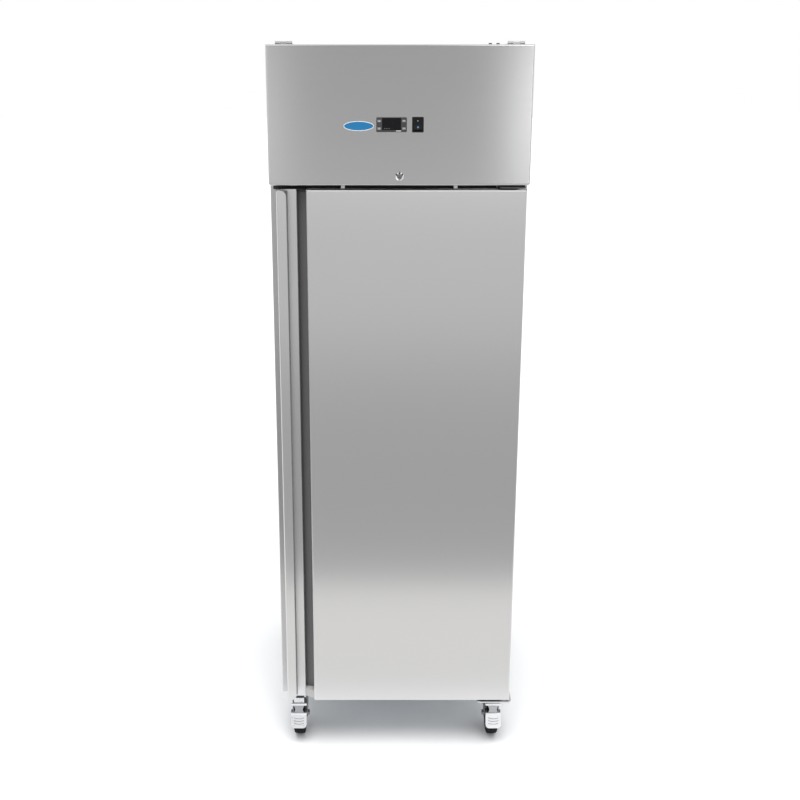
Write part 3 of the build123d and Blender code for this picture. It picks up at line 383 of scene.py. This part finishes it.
OWN_MATERIALS = {            # finishes of pieces that differ from the rest of their slot
    "header_panel": brushed("header_steel", STEEL, 0.15, LEVEL_GRAIN, streak=0.03, bump=0.0012, turn=0.25,
                            spread_of_roughness=0.02),
    # upper hinge bracket painted near black: painted shade of the gap under the header
    "upper_hinge_bracket": plain_metal("bracket_gap_shade", (0.10, 0.10, 0.105), 0.4, 90),
    "handle_end_caps": plastic("end_cap_grey", (0.42, 0.42, 0.415), 0.4),
    "lock_cam": plain_metal("key_plug", (0.24, 0.24, 0.24), 0.3, 200),
    "lock_plating": plain_metal("lock_plating", (0.72, 0.72, 0.73), 0.2, 150),
    # darker copy of the pedal plating: painted shade for the pedal's neck and under its ridges
    "pedal_painted_shade": plain_metal("pedal_painted_shade", (0.40, 0.41, 0.425), 0.35, 60, 0.02),
    "mark_blue": plastic("mark_blue", (0.22, 0.42, 0.78), 0.4),
}
for pedal in ("brake_pedal_left", "brake_pedal_right"):
    OWN_MATERIALS[pedal] = plain_metal("pedal_plating", (0.76, 0.77, 0.79), 0.3, 50, 0.02, metallic=0.84)


def finish_cad_nodes():
    """Give every CAD solid its own material or that of its slot. The upper end cap is painted black as
    painted shade under the header.
    """
    for name, node in nodes.items():
        material = OWN_MATERIALS.get(name, MATERIALS[SLOT_OF[name]])
        node.data.materials.clear()
        node.data.materials.append(material)
    # painted shade: the upper half of the caps is black for the shadow under the header, the lower half keeps
    # the grey
    caps = nodes["handle_end_caps"].data
    caps.materials.append(MATERIALS["gland_black"])
    half_way = middle("handle_end_caps").z
    for face in caps.polygons:
        face.material_index = int(face.center.z > half_way)


# ---------------------------------------------------------------- mesh building
SHARP_ANGLE = math.radians(35)


def shade(mesh):
    """Smooth shading, broken at sharp edges."""
    mesh.polygons.foreach_set("use_smooth", [True] * len(mesh.polygons))
    bm = bmesh.new()
    bm.from_mesh(mesh)
    for edge in bm.edges:
        if len(edge.link_faces) == 2 and edge.calc_face_angle(0) > SHARP_ANGLE:
            edge.smooth = False
    bm.to_mesh(mesh)
    bm.free()


def make(name, bm, slot, body, replaces=(), own=None):
    """Turn a bmesh into a named piece that rides on a body and has its slot's or its own material."""
    bmesh.ops.recalc_face_normals(bm, faces=bm.faces)
    mesh = bpy.data.meshes.new(name)
    bm.to_mesh(mesh)
    bm.free()
    shade(mesh)
    piece = bpy.data.objects.new(name, mesh)
    piece.data.materials.append(OWN_MATERIALS[own] if own else MATERIALS[slot])
    bpy.context.scene.collection.objects.link(piece)
    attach(piece, body)
    if replaces:
        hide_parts(*replaces)


def axis_frame(axis):
    """Rotation that takes local Z to the given axis letter."""
    turns = {"z": Matrix.Identity(4), "x": Matrix.Rotation(math.pi / 2, 4, "Y"),
             "y": Matrix.Rotation(-math.pi / 2, 4, "X")}
    return turns[axis]


def turned(bm, profile, centre, axis, segments, ripple=None):
    """Solid of revolution: profile is (radius, height) points; ripple(angle, index) scales a radius."""
    place = Matrix.Translation(centre) @ axis_frame(axis)
    rings = []
    for index, (radius, height) in enumerate(profile):
        if radius < 1e-7:
            rings.append([bm.verts.new(place @ Vector((0, 0, height)))])
            continue
        ring = []
        for angle in whole_turn(segments):
            r = radius * (ripple(angle, index) if ripple else 1)
            ring.append(bm.verts.new(place @ Vector((r * math.cos(angle), r * math.sin(angle), height))))
        rings.append(ring)
    for low, high in zip(rings, rings[1:]):
        for k in range(segments):
            j = (k + 1) % segments
            if len(low) == 1:
                bm.faces.new((low[0], high[k], high[j]))
            elif len(high) == 1:
                bm.faces.new((low[k], low[j], high[0]))
            else:
                bm.faces.new((low[k], low[j], high[j], high[k]))


def block(bm, low, high, bevel=0.0, segments=1):
    """Block between two corners, with rounded edges where bevel is given."""
    low, high = Vector(low), Vector(high)
    size = high - low
    place = Matrix.Translation((low + high) / 2) @ Matrix.Diagonal((*size, 1))
    made = bmesh.ops.create_cube(bm, size=1, matrix=place)
    if bevel:
        edges = dict.fromkeys(edge for vert in made["verts"] for edge in vert.link_edges)
        bmesh.ops.bevel(bm, geom=list(edges), offset=bevel, segments=segments, affect="EDGES", profile=0.5)


def wire(bm, points, radius, sides, closed=False):
    """Round wire through the points, its rings kept square to the path."""
    points = [Vector(p) for p in points]
    count = len(points)
    rings = []
    up = Vector((0, 0, 1))
    for k, point in enumerate(points):
        after = points[(k + 1) % count] if closed or k + 1 < count else point
        before = points[k - 1] if closed or k else point
        along = (after - before).normalized()
        if abs(along.dot(up)) > 0.95:
            up = Vector((0, 1, 0)) if abs(along.y) < 0.9 else Vector((1, 0, 0))
        side = along.cross(up).normalized()
        up = side.cross(along).normalized()
        rings.append([bm.verts.new(point + radius * (math.cos(a) * side + math.sin(a) * up))
                      for a in whole_turn(sides)])
    pairs = list(zip(rings, rings[1:])) + ([(rings[-1], rings[0])] if closed else [])
    for low, high in pairs:
        for j in range(sides):
            bm.faces.new((low[j], low[(j + 1) % sides], high[(j + 1) % sides], high[j]))
    if not closed:
        bm.faces.new(rings[0][::-1])
        bm.faces.new(rings[-1])


def whole_turn(count):
    """Angles evenly round a circle."""
    return [2 * math.pi * k / count for k in range(count)]


def circle_points(centre, radius, axis, count):
    place = Matrix.Translation(centre) @ axis_frame(axis)
    return [place @ Vector((radius * math.cos(a), radius * math.sin(a), 0)) for a in whole_turn(count)]


def middle(node):
    """Middle of a node's box."""
    low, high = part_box(node)
    return (low + high) / 2


# ---------------------------------------------------------------- header details
LOCK_RIM = 0.0123            # radius of the lock face
LOCK_FLUTES = 8
LOCK_LENGTH = 0.024
CROWN_RADIUS = 0.0096        # where the dimples and lobes sit, from the lock's axis


def lock_bezel():
    """Plated lock face with a scalloped rim, its body and nut, the crown on its face, and the keyway."""
    centre = middle("lock_barrel")
    centre.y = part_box("lock_barrel")[0].y
    profile = [(0.0062, 0.0025), (0.0066, 0.0012), (0.0082, 0.0009), (0.0104, 0.0007),
               (LOCK_RIM - 0.0008, 0.0010), (LOCK_RIM, 0.0022), (LOCK_RIM, 0.0078),
               (LOCK_RIM - 0.0004, 0.008), (0.0093, 0.008), (0.0093, LOCK_LENGTH), (0.0084, LOCK_LENGTH),
               (0.0062, LOCK_LENGTH), (0.0062, 0.0025)]
    nut = [(0.0094, 0.0092), (0.0135, 0.0092), (0.0135, 0.0130), (0.0094, 0.0130), (0.0094, 0.0092)]
    flute_depths = {3: 0.08, 4: 0.14, 5: 0.12, 6: 0.08}

    def ripple(angle, index):
        return 1 - flute_depths.get(index, 0.0) * (0.5 + 0.5 * math.cos(LOCK_FLUTES * angle)) ** 2

    bm = bmesh.new()
    turned(bm, profile, centre, "y", 96, ripple)
    turned(bm, nut, centre, "y", 6)
    make("lock_face", bm, "chrome", "header", ["lock_barrel"], own="lock_plating")
    # the black knobs are painted shade of the crown's dimples; the chrome lobes catch real reflections
    crown = (("lock_dimple_shades", "gland_black", (38, 90, 142), 1.3), ("lock_lobes", "chrome", (64, 116), 1.0))
    for name, slot, degrees, size in crown:
        bm = bmesh.new()
        knob = [(0, 0.0001), (0.0011 * size, 0.0002), (0.0018 * size, 0.0007), (0.0020 * size, 0.0014),
                (0, 0.0014)]
        for angle in map(math.radians, degrees):
            spot = centre + Vector((CROWN_RADIUS * math.cos(angle), 0, CROWN_RADIUS * math.sin(angle)))
            turned(bm, knob, spot, "y", 24)
        make(name, bm, slot, "header")
    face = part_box("lock_cam")[0].y
    bm = bmesh.new()
    block(bm, (centre.x - 0.0022, face + 0.00005, centre.z - 0.0010),
          (centre.x + 0.0022, face + 0.0006, centre.z + 0.0010), 0.0001, 1)
    make("keyway", bm, "gland_black", "lock_cam")


BADGE_INSET = 0.0011
BADGE_WIRE = 0.0009


def badge_rim():
    """Thin pale rim round the blank oval badge."""
    low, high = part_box("badge_plate")
    half_x, half_z = (high.x - low.x) / 2 - BADGE_INSET, (high.z - low.z) / 2 - BADGE_INSET
    centre = middle("badge_plate")
    centre.y = low.y + 0.0003
    points = [centre + Vector((half_x * math.cos(a), 0, half_z * math.sin(a))) for a in whole_turn(96)]
    bm = bmesh.new()
    wire(bm, points, BADGE_WIRE, 8, closed=True)
    make("badge_rim", bm, "nylon", "header")


KEY_MARK = 0.0014            # half the width of the triangle on a key
LENS_PITCH = 0.0045


def controller_marks():
    """Raised triangles on the four keys, four indicator lenses in the window and a pale strip below it."""
    for number in range(1, 5):
        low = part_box(f"controller_key_{number}")[0]
        centre = middle(f"controller_key_{number}")
        direction = 1 if number % 2 else -1
        base, tip = -KEY_MARK * direction, KEY_MARK * direction
        corners = [(-KEY_MARK, base), (KEY_MARK, base), (0, tip)]
        bm = bmesh.new()
        front = [bm.verts.new((centre.x + x, low.y - 0.0002, centre.z + z)) for x, z in corners]
        back = [bm.verts.new((centre.x + x * 1.15, low.y + 0.0004, centre.z + z * 1.15)) for x, z in corners]
        bm.faces.new(front)
        bm.faces.new(back[::-1])
        for k in range(3):
            bm.faces.new((front[k], back[k], back[(k + 1) % 3], front[(k + 1) % 3]))
        make(f"key_mark_{number}", bm, "nylon", f"key_{number}")
    window_low, window_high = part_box("controller_window")
    lens = [(0, -0.0002), (0.0008, 0.0), (0.0011, 0.0005), (0.0011, 0.0014), (0, 0.0014)]
    bm = bmesh.new()
    for k in range(4):
        x = window_low.x + 0.006 + k * LENS_PITCH
        turned(bm, lens, (x, window_low.y - 0.0001, window_low.z + 0.004), "y", 20)
    make("indicator_lenses", bm, "breaker", "header")
    face, right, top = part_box("controller_housing")[0].y, window_high.x, window_low.z - 0.0012
    bm = bmesh.new()
    block(bm, (right - 0.013, face - 0.0002, top - 0.0017), (right, face + 0.001, top), 0.0001, 2)
    make("bezel_strip", bm, "evaporator_shell", "header")


ROCKER_TILT = math.radians(8)
ROCKER_PIVOT = 0.003         # how far the rocker's pivot lies behind the door's front


def switch_marks():
    """Raised on and off marks on the tilted rocker."""
    centre = middle("switch_rocker")
    pivot = Vector((centre.x, FRONT + ROCKER_PIVOT, centre.z))
    turn = Matrix.Translation(pivot) @ Matrix.Rotation(-ROCKER_TILT, 4, "X")
    bm = bmesh.new()
    wire(bm, [turn @ Vector((x, -0.0078, 0.0075)) for x in (-0.0018, 0.0018)], 0.0004, 8)
    make("on_mark", bm, "nylon", "rocker")
    bm = bmesh.new()
    points = [turn @ Vector((0.0016 * math.cos(a), -0.0077, -0.0085 + 0.0016 * math.sin(a)))
              for a in whole_turn(24)]
    wire(bm, points, 0.0006, 8, closed=True)
    make("off_mark", bm, "nylon", "rocker", own="mark_blue")


# ---------------------------------------------------------------- door details
GASKET_WIDTH = 0.020
GRIP_FACE = 0.0265           # depth of the pull's grip plane behind the lip's face
LIP_WIDTH = 0.0265           # door's left edge to the lip's free edge


def gasket():
    """Bellows gasket: one mitred loop round the opening."""
    low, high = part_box("door_gasket")
    depth = high.y - low.y
    fold = [(0.0, 0.0), (0.0035, 0.0), (0.0035, 0.30), (0.0, 0.42), (0.0, 0.86), (0.0015, 1.0), (0.0125, 1.0),
            (0.014, 0.86), (0.0115, 0.72), (0.0165, 0.60), (0.0135, 0.48), (0.0195, 0.34), (0.020, 0.14),
            (0.0185, 0.0)]
    bm = bmesh.new()
    rings = []
    for corner_x, corner_z in ((-1, -1), (1, -1), (1, 1), (-1, 1)):
        outer_x = low.x if corner_x < 0 else high.x
        outer_z = low.z if corner_z < 0 else high.z
        rings.append([bm.verts.new((outer_x - corner_x * (GASKET_WIDTH - across), low.y + depth * back,
                                    outer_z - corner_z * (GASKET_WIDTH - across))) for across, back in fold])
    for k in range(4):
        first, second = rings[k], rings[(k + 1) % 4]
        for j in range(len(fold)):
            i = (j + 1) % len(fold)
            bm.faces.new((first[j], first[i], second[i], second[j]))
    make("gasket_bellows", bm, "gasket", "door", ["door_gasket"])


def grip_shadow_strip():
    """Dark strip on the grip plane beside the lip's free edge: painted shadow of the lip."""
    low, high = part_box("handle_rail")
    edge, plane = low.x + LIP_WIDTH, low.y + GRIP_FACE
    bm = bmesh.new()
    block(bm, (edge - 0.006, plane - 0.0004, low.z + 0.004), (edge + 0.0022, plane + 0.0004, high.z - 0.004),
          0.0001, 1)
    # painted shadow: a dark strip where the lip shades the grip plane
    make("grip_shadow_strip", bm, "breaker", "door")


def gap_shadow_strips():
    """Black strips on the front frame, behind the gap between the door and the header: painted shade that
    darkens the gap.
    """
    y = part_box("top_deck")[0].y
    low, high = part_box("door_skin")[1].z - 0.005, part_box("header_panel")[0].z + 0.022
    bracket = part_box("upper_hinge_bracket")[0].x
    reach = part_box("side_panel_right")[1].x - 0.008
    bm = bmesh.new()
    for x0, x1 in ((-reach, bracket - 0.002), (bracket + 0.058, reach)):
        block(bm, (x0, y - 0.0018, low), (x1, y - 0.0002, high), 0.0006, 2)
    # painted shade: black strips standing in for the shadow in the gap under the header
    make("gap_shadow_strips", bm, "gland_black", "cabinet")


# ---------------------------------------------------------------- machine details
TUBE_RADIUS = 0.004


def finned(name, node, pitch, rows, columns, bend_room):
    """Coil with separate fins, end plates and return bends in place of its plain block."""
    low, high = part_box(node)
    right = high.x - bend_room
    bm = bmesh.new()
    for k in range(int((right - low.x - 0.016) / pitch)):
        x = low.x + 0.010 + k * pitch
        block(bm, (x, low.y + 0.002, low.z), (x + 0.0003, high.y - 0.002, high.z))
    for x in (low.x + 0.006, right - 0.002):
        block(bm, (x, low.y, low.z), (x + 0.002, high.y, high.z), 0.0004, 1)
    make(name, bm, "fins", "cabinet", [node])
    pitch_z = (high.z - low.z) / rows
    pitch_y = (high.y - low.y) / columns
    tubes = bmesh.new()
    for column in range(columns):
        y = low.y + pitch_y * (column + 0.5)
        for row in range(rows):
            z = low.z + pitch_z * (row + 0.5)
            wire(tubes, [(low.x + 0.004, y, z), (right + 0.001, y, z)], TUBE_RADIUS, 10)
            if row % 2 == 0:
                arc = [(right + pitch_z / 2 * math.sin(a), y, z + pitch_z / 2 - pitch_z / 2 * math.cos(a))
                       for a in (math.pi * t / 12 for t in range(13))]
                wire(tubes, arc, TUBE_RADIUS, 10)
    make(name + "_tubes", tubes, "copper", "cabinet")


GUARD_SPOKES = 4
GUARD_RIM = 0.95             # where the spokes bend towards the outermost ring, as a share of the radius


def wire_guard(name, fan, radius, y, rings, dish=0.0):
    """Fan guard: concentric wire rings on crossed spokes, raised by dish inside the outermost ring."""
    bm = bmesh.new()
    place = middle(fan)
    place.y = y
    raised = place + Vector((0, dish, 0))
    for k in range(1, rings + 1):
        hub = raised if k < rings else place
        wire(bm, circle_points(hub, radius * k / rings, "y", 64), 0.0012, 8, closed=True)
    lift = Vector((0, 0.0022, 0))
    for k in range(GUARD_SPOKES):
        angle = math.pi * k / GUARD_SPOKES + math.pi / 8
        arm = Vector((math.cos(angle), 0, math.sin(angle))) * radius
        points = [place - arm, raised - GUARD_RIM * arm, raised + GUARD_RIM * arm, place + arm]
        wire(bm, [point + lift for point in points], 0.0016, 8)
    make(name, bm, "shelf_wire", "cabinet")


SHELL_X = 0.178
SHELL_RADIUS = 0.088
SHELL_SHOULDER = 0.143
SHELL_TOP = 0.195
FOOT_SPREAD = (0.096, 0.056)


def compressor_detail():
    """Deep-drawn shell with its weld seam, terminal cover and process stub, on a plate with rubber feet."""
    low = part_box("compressor")[0]
    centre = Vector((SHELL_X, middle("compressor").y, low.z))
    r = SHELL_RADIUS
    rise = SHELL_TOP - SHELL_SHOULDER
    dome = [(r * math.cos(a), SHELL_SHOULDER + rise * math.sin(a)) for a in whole_turn(56)[:14]]
    profile = [(0, 0.0155), (r - 0.014, 0.0155), (r - 0.003, 0.024), (r, 0.034), (r, 0.098),
               (r + 0.004, 0.100), (r + 0.004, 0.107), (r, 0.109), *dome, (0.0, SHELL_TOP)]
    stub = [(0, 0.188), (0.007, 0.188), (0.007, 0.1945), (0.004, 0.1948), (0, 0.1948)]
    bm = bmesh.new()
    turned(bm, profile, centre, "z", 96)
    turned(bm, stub, centre, "z", 24)
    block(bm, (low.x, centre.y - 0.032, low.z + 0.060),
          (centre.x - r + 0.010, centre.y + 0.032, low.z + 0.128), 0.006, 4)
    make("compressor_shell", bm, "compressor_shell", "cabinet", ["compressor"])
    bm = bmesh.new()
    block(bm, (centre.x - 0.110, centre.y - 0.070, low.z + 0.012),
          (centre.x + 0.110, centre.y + 0.070, low.z + 0.015), 0.001, 2)
    make("compressor_foot", bm, "zinc", "cabinet")
    profile = [(0.004, 0), (0.010, 0.001), (0.011, 0.005), (0.009, 0.009), (0.011, 0.012), (0.009, 0.017),
               (0.006, 0.019), (0.006, 0.022), (0, 0.0225)]
    bm = bmesh.new()
    for dx in (-FOOT_SPREAD[0], FOOT_SPREAD[0]):
        for dy in (-FOOT_SPREAD[1], FOOT_SPREAD[1]):
            turned(bm, profile, (centre.x + dx, centre.y + dy, low.z), "z", 24)
    make("compressor_feet", bm, "gland_black", "cabinet")


# ---------------------------------------------------------------- casters
TYRE_RADIUS = 0.0635
HALF_TYRE = 0.017
HALF_HUB = 0.0195
HUB_RIBS = 6


def wheels():
    """Tyre with rounded shoulders on a ribbed hub."""
    w = HALF_TYRE
    tyre = [(0.046, -w + 0.002), (0.056, -w), (0.060, -w + 0.001), (0.0625, -w + 0.004),
            (TYRE_RADIUS, -w + 0.009), (TYRE_RADIUS, w - 0.009), (0.0625, w - 0.004), (0.060, w - 0.001),
            (0.056, w), (0.046, w - 0.002), (0.046, -w + 0.002)]
    half_hub = [(0.0465, 0.0152), (0.042, 0.014), (0.038, 0.0085), (0.019, 0.0075), (0.0125, 0.009),
                (0.012, 0.018), (0.011, HALF_HUB), (0.0051, HALF_HUB)]
    hub = [(radius, -across) for radius, across in reversed(half_hub)] + half_hub + [(0.0051, -HALF_HUB)]
    for name in ("front_left", "front_right", "rear_left", "rear_right"):
        node = "caster_wheel_" + name
        centre = middle(node)
        bm = bmesh.new()
        turned(bm, tyre, centre, "x", 96)
        make("tyre_" + name, bm, "wheel_black", "wheel_" + name, [node])
        bm = bmesh.new()
        turned(bm, hub, centre, "x", 72)
        for angle in whole_turn(HUB_RIBS):
            for side in (-1, 1):
                start = Vector((side * 0.0095, 0.014 * math.cos(angle), 0.014 * math.sin(angle)))
                end = Vector((side * 0.0105, 0.040 * math.cos(angle), 0.040 * math.sin(angle)))
                wire(bm, [centre + start, centre + end], 0.0022, 8)
        make("hub_" + name, bm, "cap_plastic", "wheel_" + name)


def sloping_plate(bm, centre_x, top, bottom, outline, thick):
    """Plate on a slope: outline is (across, fraction down) points, top and bottom are (y, z) of its front."""
    top, bottom = Vector((0, *top)), Vector((0, *bottom))
    down = bottom - top
    inward = Vector((1, 0, 0)).cross(down).normalized() * thick
    front = [bm.verts.new(Vector((centre_x + x, 0, 0)) + top + down * t) for x, t in outline]
    back = [bm.verts.new(vert.co + inward) for vert in front]
    bm.faces.new(front)
    bm.faces.new(back[::-1])
    count = len(outline)
    for k in range(count):
        j = (k + 1) % count
        bm.faces.new((front[k], back[k], back[j], front[j]))


TREAD_TOP = (-0.0495, -0.0340)        # the pedal's tread, as (y, z) from the middle of its hub
TREAD_RUN = (-0.0137, -0.0402)
TREAD_CORNER = 0.011
CORNER_STEPS = 8
HALF_TAB = 0.0154
HALF_LINK = 0.0145
HALF_RIDGE = 0.0155
HALF_SHOE = 0.0180


def mirrored(edge):
    """Outline from its left half, listed downwards."""
    return edge + [(-across, down) for across, down in reversed(edge)]


def brake_pedals():
    """Pressed pedal with a release tab, two bars, a waisted neck and curved ridges, and its shoe."""
    for side in ("left", "right"):
        node = "brake_pedal_" + side
        body = "pedal_" + side
        low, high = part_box(node)
        x, hub_y, hub_z = middle(node).x, high.y - 0.0055, high.z - 0.0100
        half = (high.x - low.x) / 2 - 0.0002

        def at(y, z):
            return hub_y + y, hub_z + z

        def bar(bm, half_width, start, end, bevel, segments):
            block(bm, (x - half_width, *at(*start)), (x + half_width, *at(*end)), bevel, segments)

        bm = bmesh.new()
        ring = [(0.0027, -0.0192), (0.0050, -0.0192), (0.0054, -0.0186), (0.0054, 0.0186), (0.0050, 0.0192),
                (0.0027, 0.0192), (0.0027, -0.0192)]
        turned(bm, ring, (x, hub_y, hub_z), "x", 32)
        tab = mirrored([(-HALF_LINK, 0.0), (-HALF_TAB, 0.08), (-HALF_TAB, 1.0)])
        sloping_plate(bm, x, at(-0.0305, 0.0098), at(-0.0325, -0.0045), tab, 0.0022)
        bar(bm, half, (-0.0385, -0.0125), (-0.0325, -0.0050), 0.0018, 4)
        bar(bm, half, (-0.0512, -0.0370), (-0.0455, -0.0300), 0.0018, 4)
        corner = TREAD_CORNER
        length = math.hypot(*TREAD_RUN)
        edge = [(-half, 0.0)]
        for k in range(CORNER_STEPS + 1):
            angle = math.pi / 2 * k / CORNER_STEPS
            edge.append((-half + corner * (1 - math.cos(angle)), 1 - corner / length * (1 - math.sin(angle))))
        foot = at(TREAD_TOP[0] + TREAD_RUN[0], TREAD_TOP[1] + TREAD_RUN[1])
        sloping_plate(bm, x, at(*TREAD_TOP), foot, mirrored(edge), 0.0024)
        make(body, bm, "chrome", body, [node], own=node)

        # painted shade: the link, the waisted neck and the ridges take the darker copy of the pedal plating
        bm = bmesh.new()
        link = mirrored([(-HALF_LINK, 0.12), (-HALF_LINK, 1.0)])
        sloping_plate(bm, x, at(0.0, 0.0042), at(-0.0335, -0.0050), link, 0.0026)
        waist = mirrored([(-0.0165, 0.0), (-0.0135, 0.2), (-0.0115, 0.45), (-0.0115, 0.6), (-0.0145, 0.85),
                          (-0.0175, 1.0)])
        sloping_plate(bm, x, at(-0.0370, -0.0115), at(-0.0485, -0.0330), waist, 0.0022)
        for fraction in (0.26, 0.45, 0.64):
            points = []
            for k in range(17):
                across = -1 + k / 8
                down = fraction + 0.07 * (1 - across * across)
                points.append((x + HALF_RIDGE * across, hub_y + TREAD_TOP[0] + TREAD_RUN[0] * down - 0.0002,
                               hub_z + TREAD_TOP[1] + TREAD_RUN[1] * down))
            wire(bm, points, 0.0010, 8)
        make(body + "_shaded", bm, "chrome", body, own="pedal_painted_shade")

        bm = bmesh.new()
        bar(bm, HALF_SHOE, (-0.028, -0.0205), (-0.020, -0.0125), 0.002, 3)
        make("brake_shoe_" + side, bm, "gland_black", "fork_front_" + side)


# ---------------------------------------------------------------- stage
FLOOR_REACH = 1.15           # how far the floor runs in front of the door
FLOOR_SIZE = 30.0
FLOOR_SHADE_FALLOFF = (0.42, 0.20)    # distances ahead of the door between which the floor's painted shade fades into the paler floor near the door
FLOOR_NEAR = (0.79, 0.81, 0.835)
# painted shade: the darker floor colour further ahead of the door
FLOOR_SHADE_AHEAD = (0.60, 0.602, 0.60)


def add_stage():
    """Matt pale floor with painted shade: a little darker further ahead of the door, where the studio light
    falls off.
    """
    m = Nodes("floor_with_painted_shade")
    ahead = map_range(m.tree, m.place("Y"), FRONT - FLOOR_SHADE_FALLOFF[0], FRONT - FLOOR_SHADE_FALLOFF[1], smooth=True)
    m.color(ahead, FLOOR_SHADE_AHEAD, FLOOR_NEAR)
    m.set(Roughness=0.8)
    size, edge = FLOOR_SIZE, FRONT - FLOOR_REACH
    mesh = bpy.data.meshes.new("floor")
    corners = [(-size, edge, 0), (size, edge, 0), (size, size, 0), (-size, size, 0)]
    mesh.from_pydata(corners, [], [(0, 1, 2, 3)])
    floor = bpy.data.objects.new("floor", mesh)
    floor.data.materials.append(m.material)
    bpy.context.scene.collection.objects.link(floor)


add_camera()
add_world()
add_stage()
add_sun()
finish_cad_nodes()
lock_bezel()
badge_rim()
controller_marks()
switch_marks()
gasket()
grip_shadow_strip()
gap_shadow_strips()
finned("condenser_fins", "condenser_coil", pitch=0.0028, rows=10, columns=2, bend_room=0.030)
finned("evaporator_fins", "evaporator_coil", pitch=0.005, rows=4, columns=3, bend_room=0.012)
wire_guard("condenser_fan_guard", "condenser_fan_blade", 0.124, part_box("condenser_fan_shroud")[1].y + 0.002,
           rings=8, dish=0.010)
wire_guard("evaporator_fan_guard", "evaporator_fan_blade", 0.062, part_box("evaporator_cover")[0].y - 0.003,
           rings=6)
compressor_detail()
wheels()
brake_pedals()
bpy.context.scene.view_settings.view_transform = "Standard"
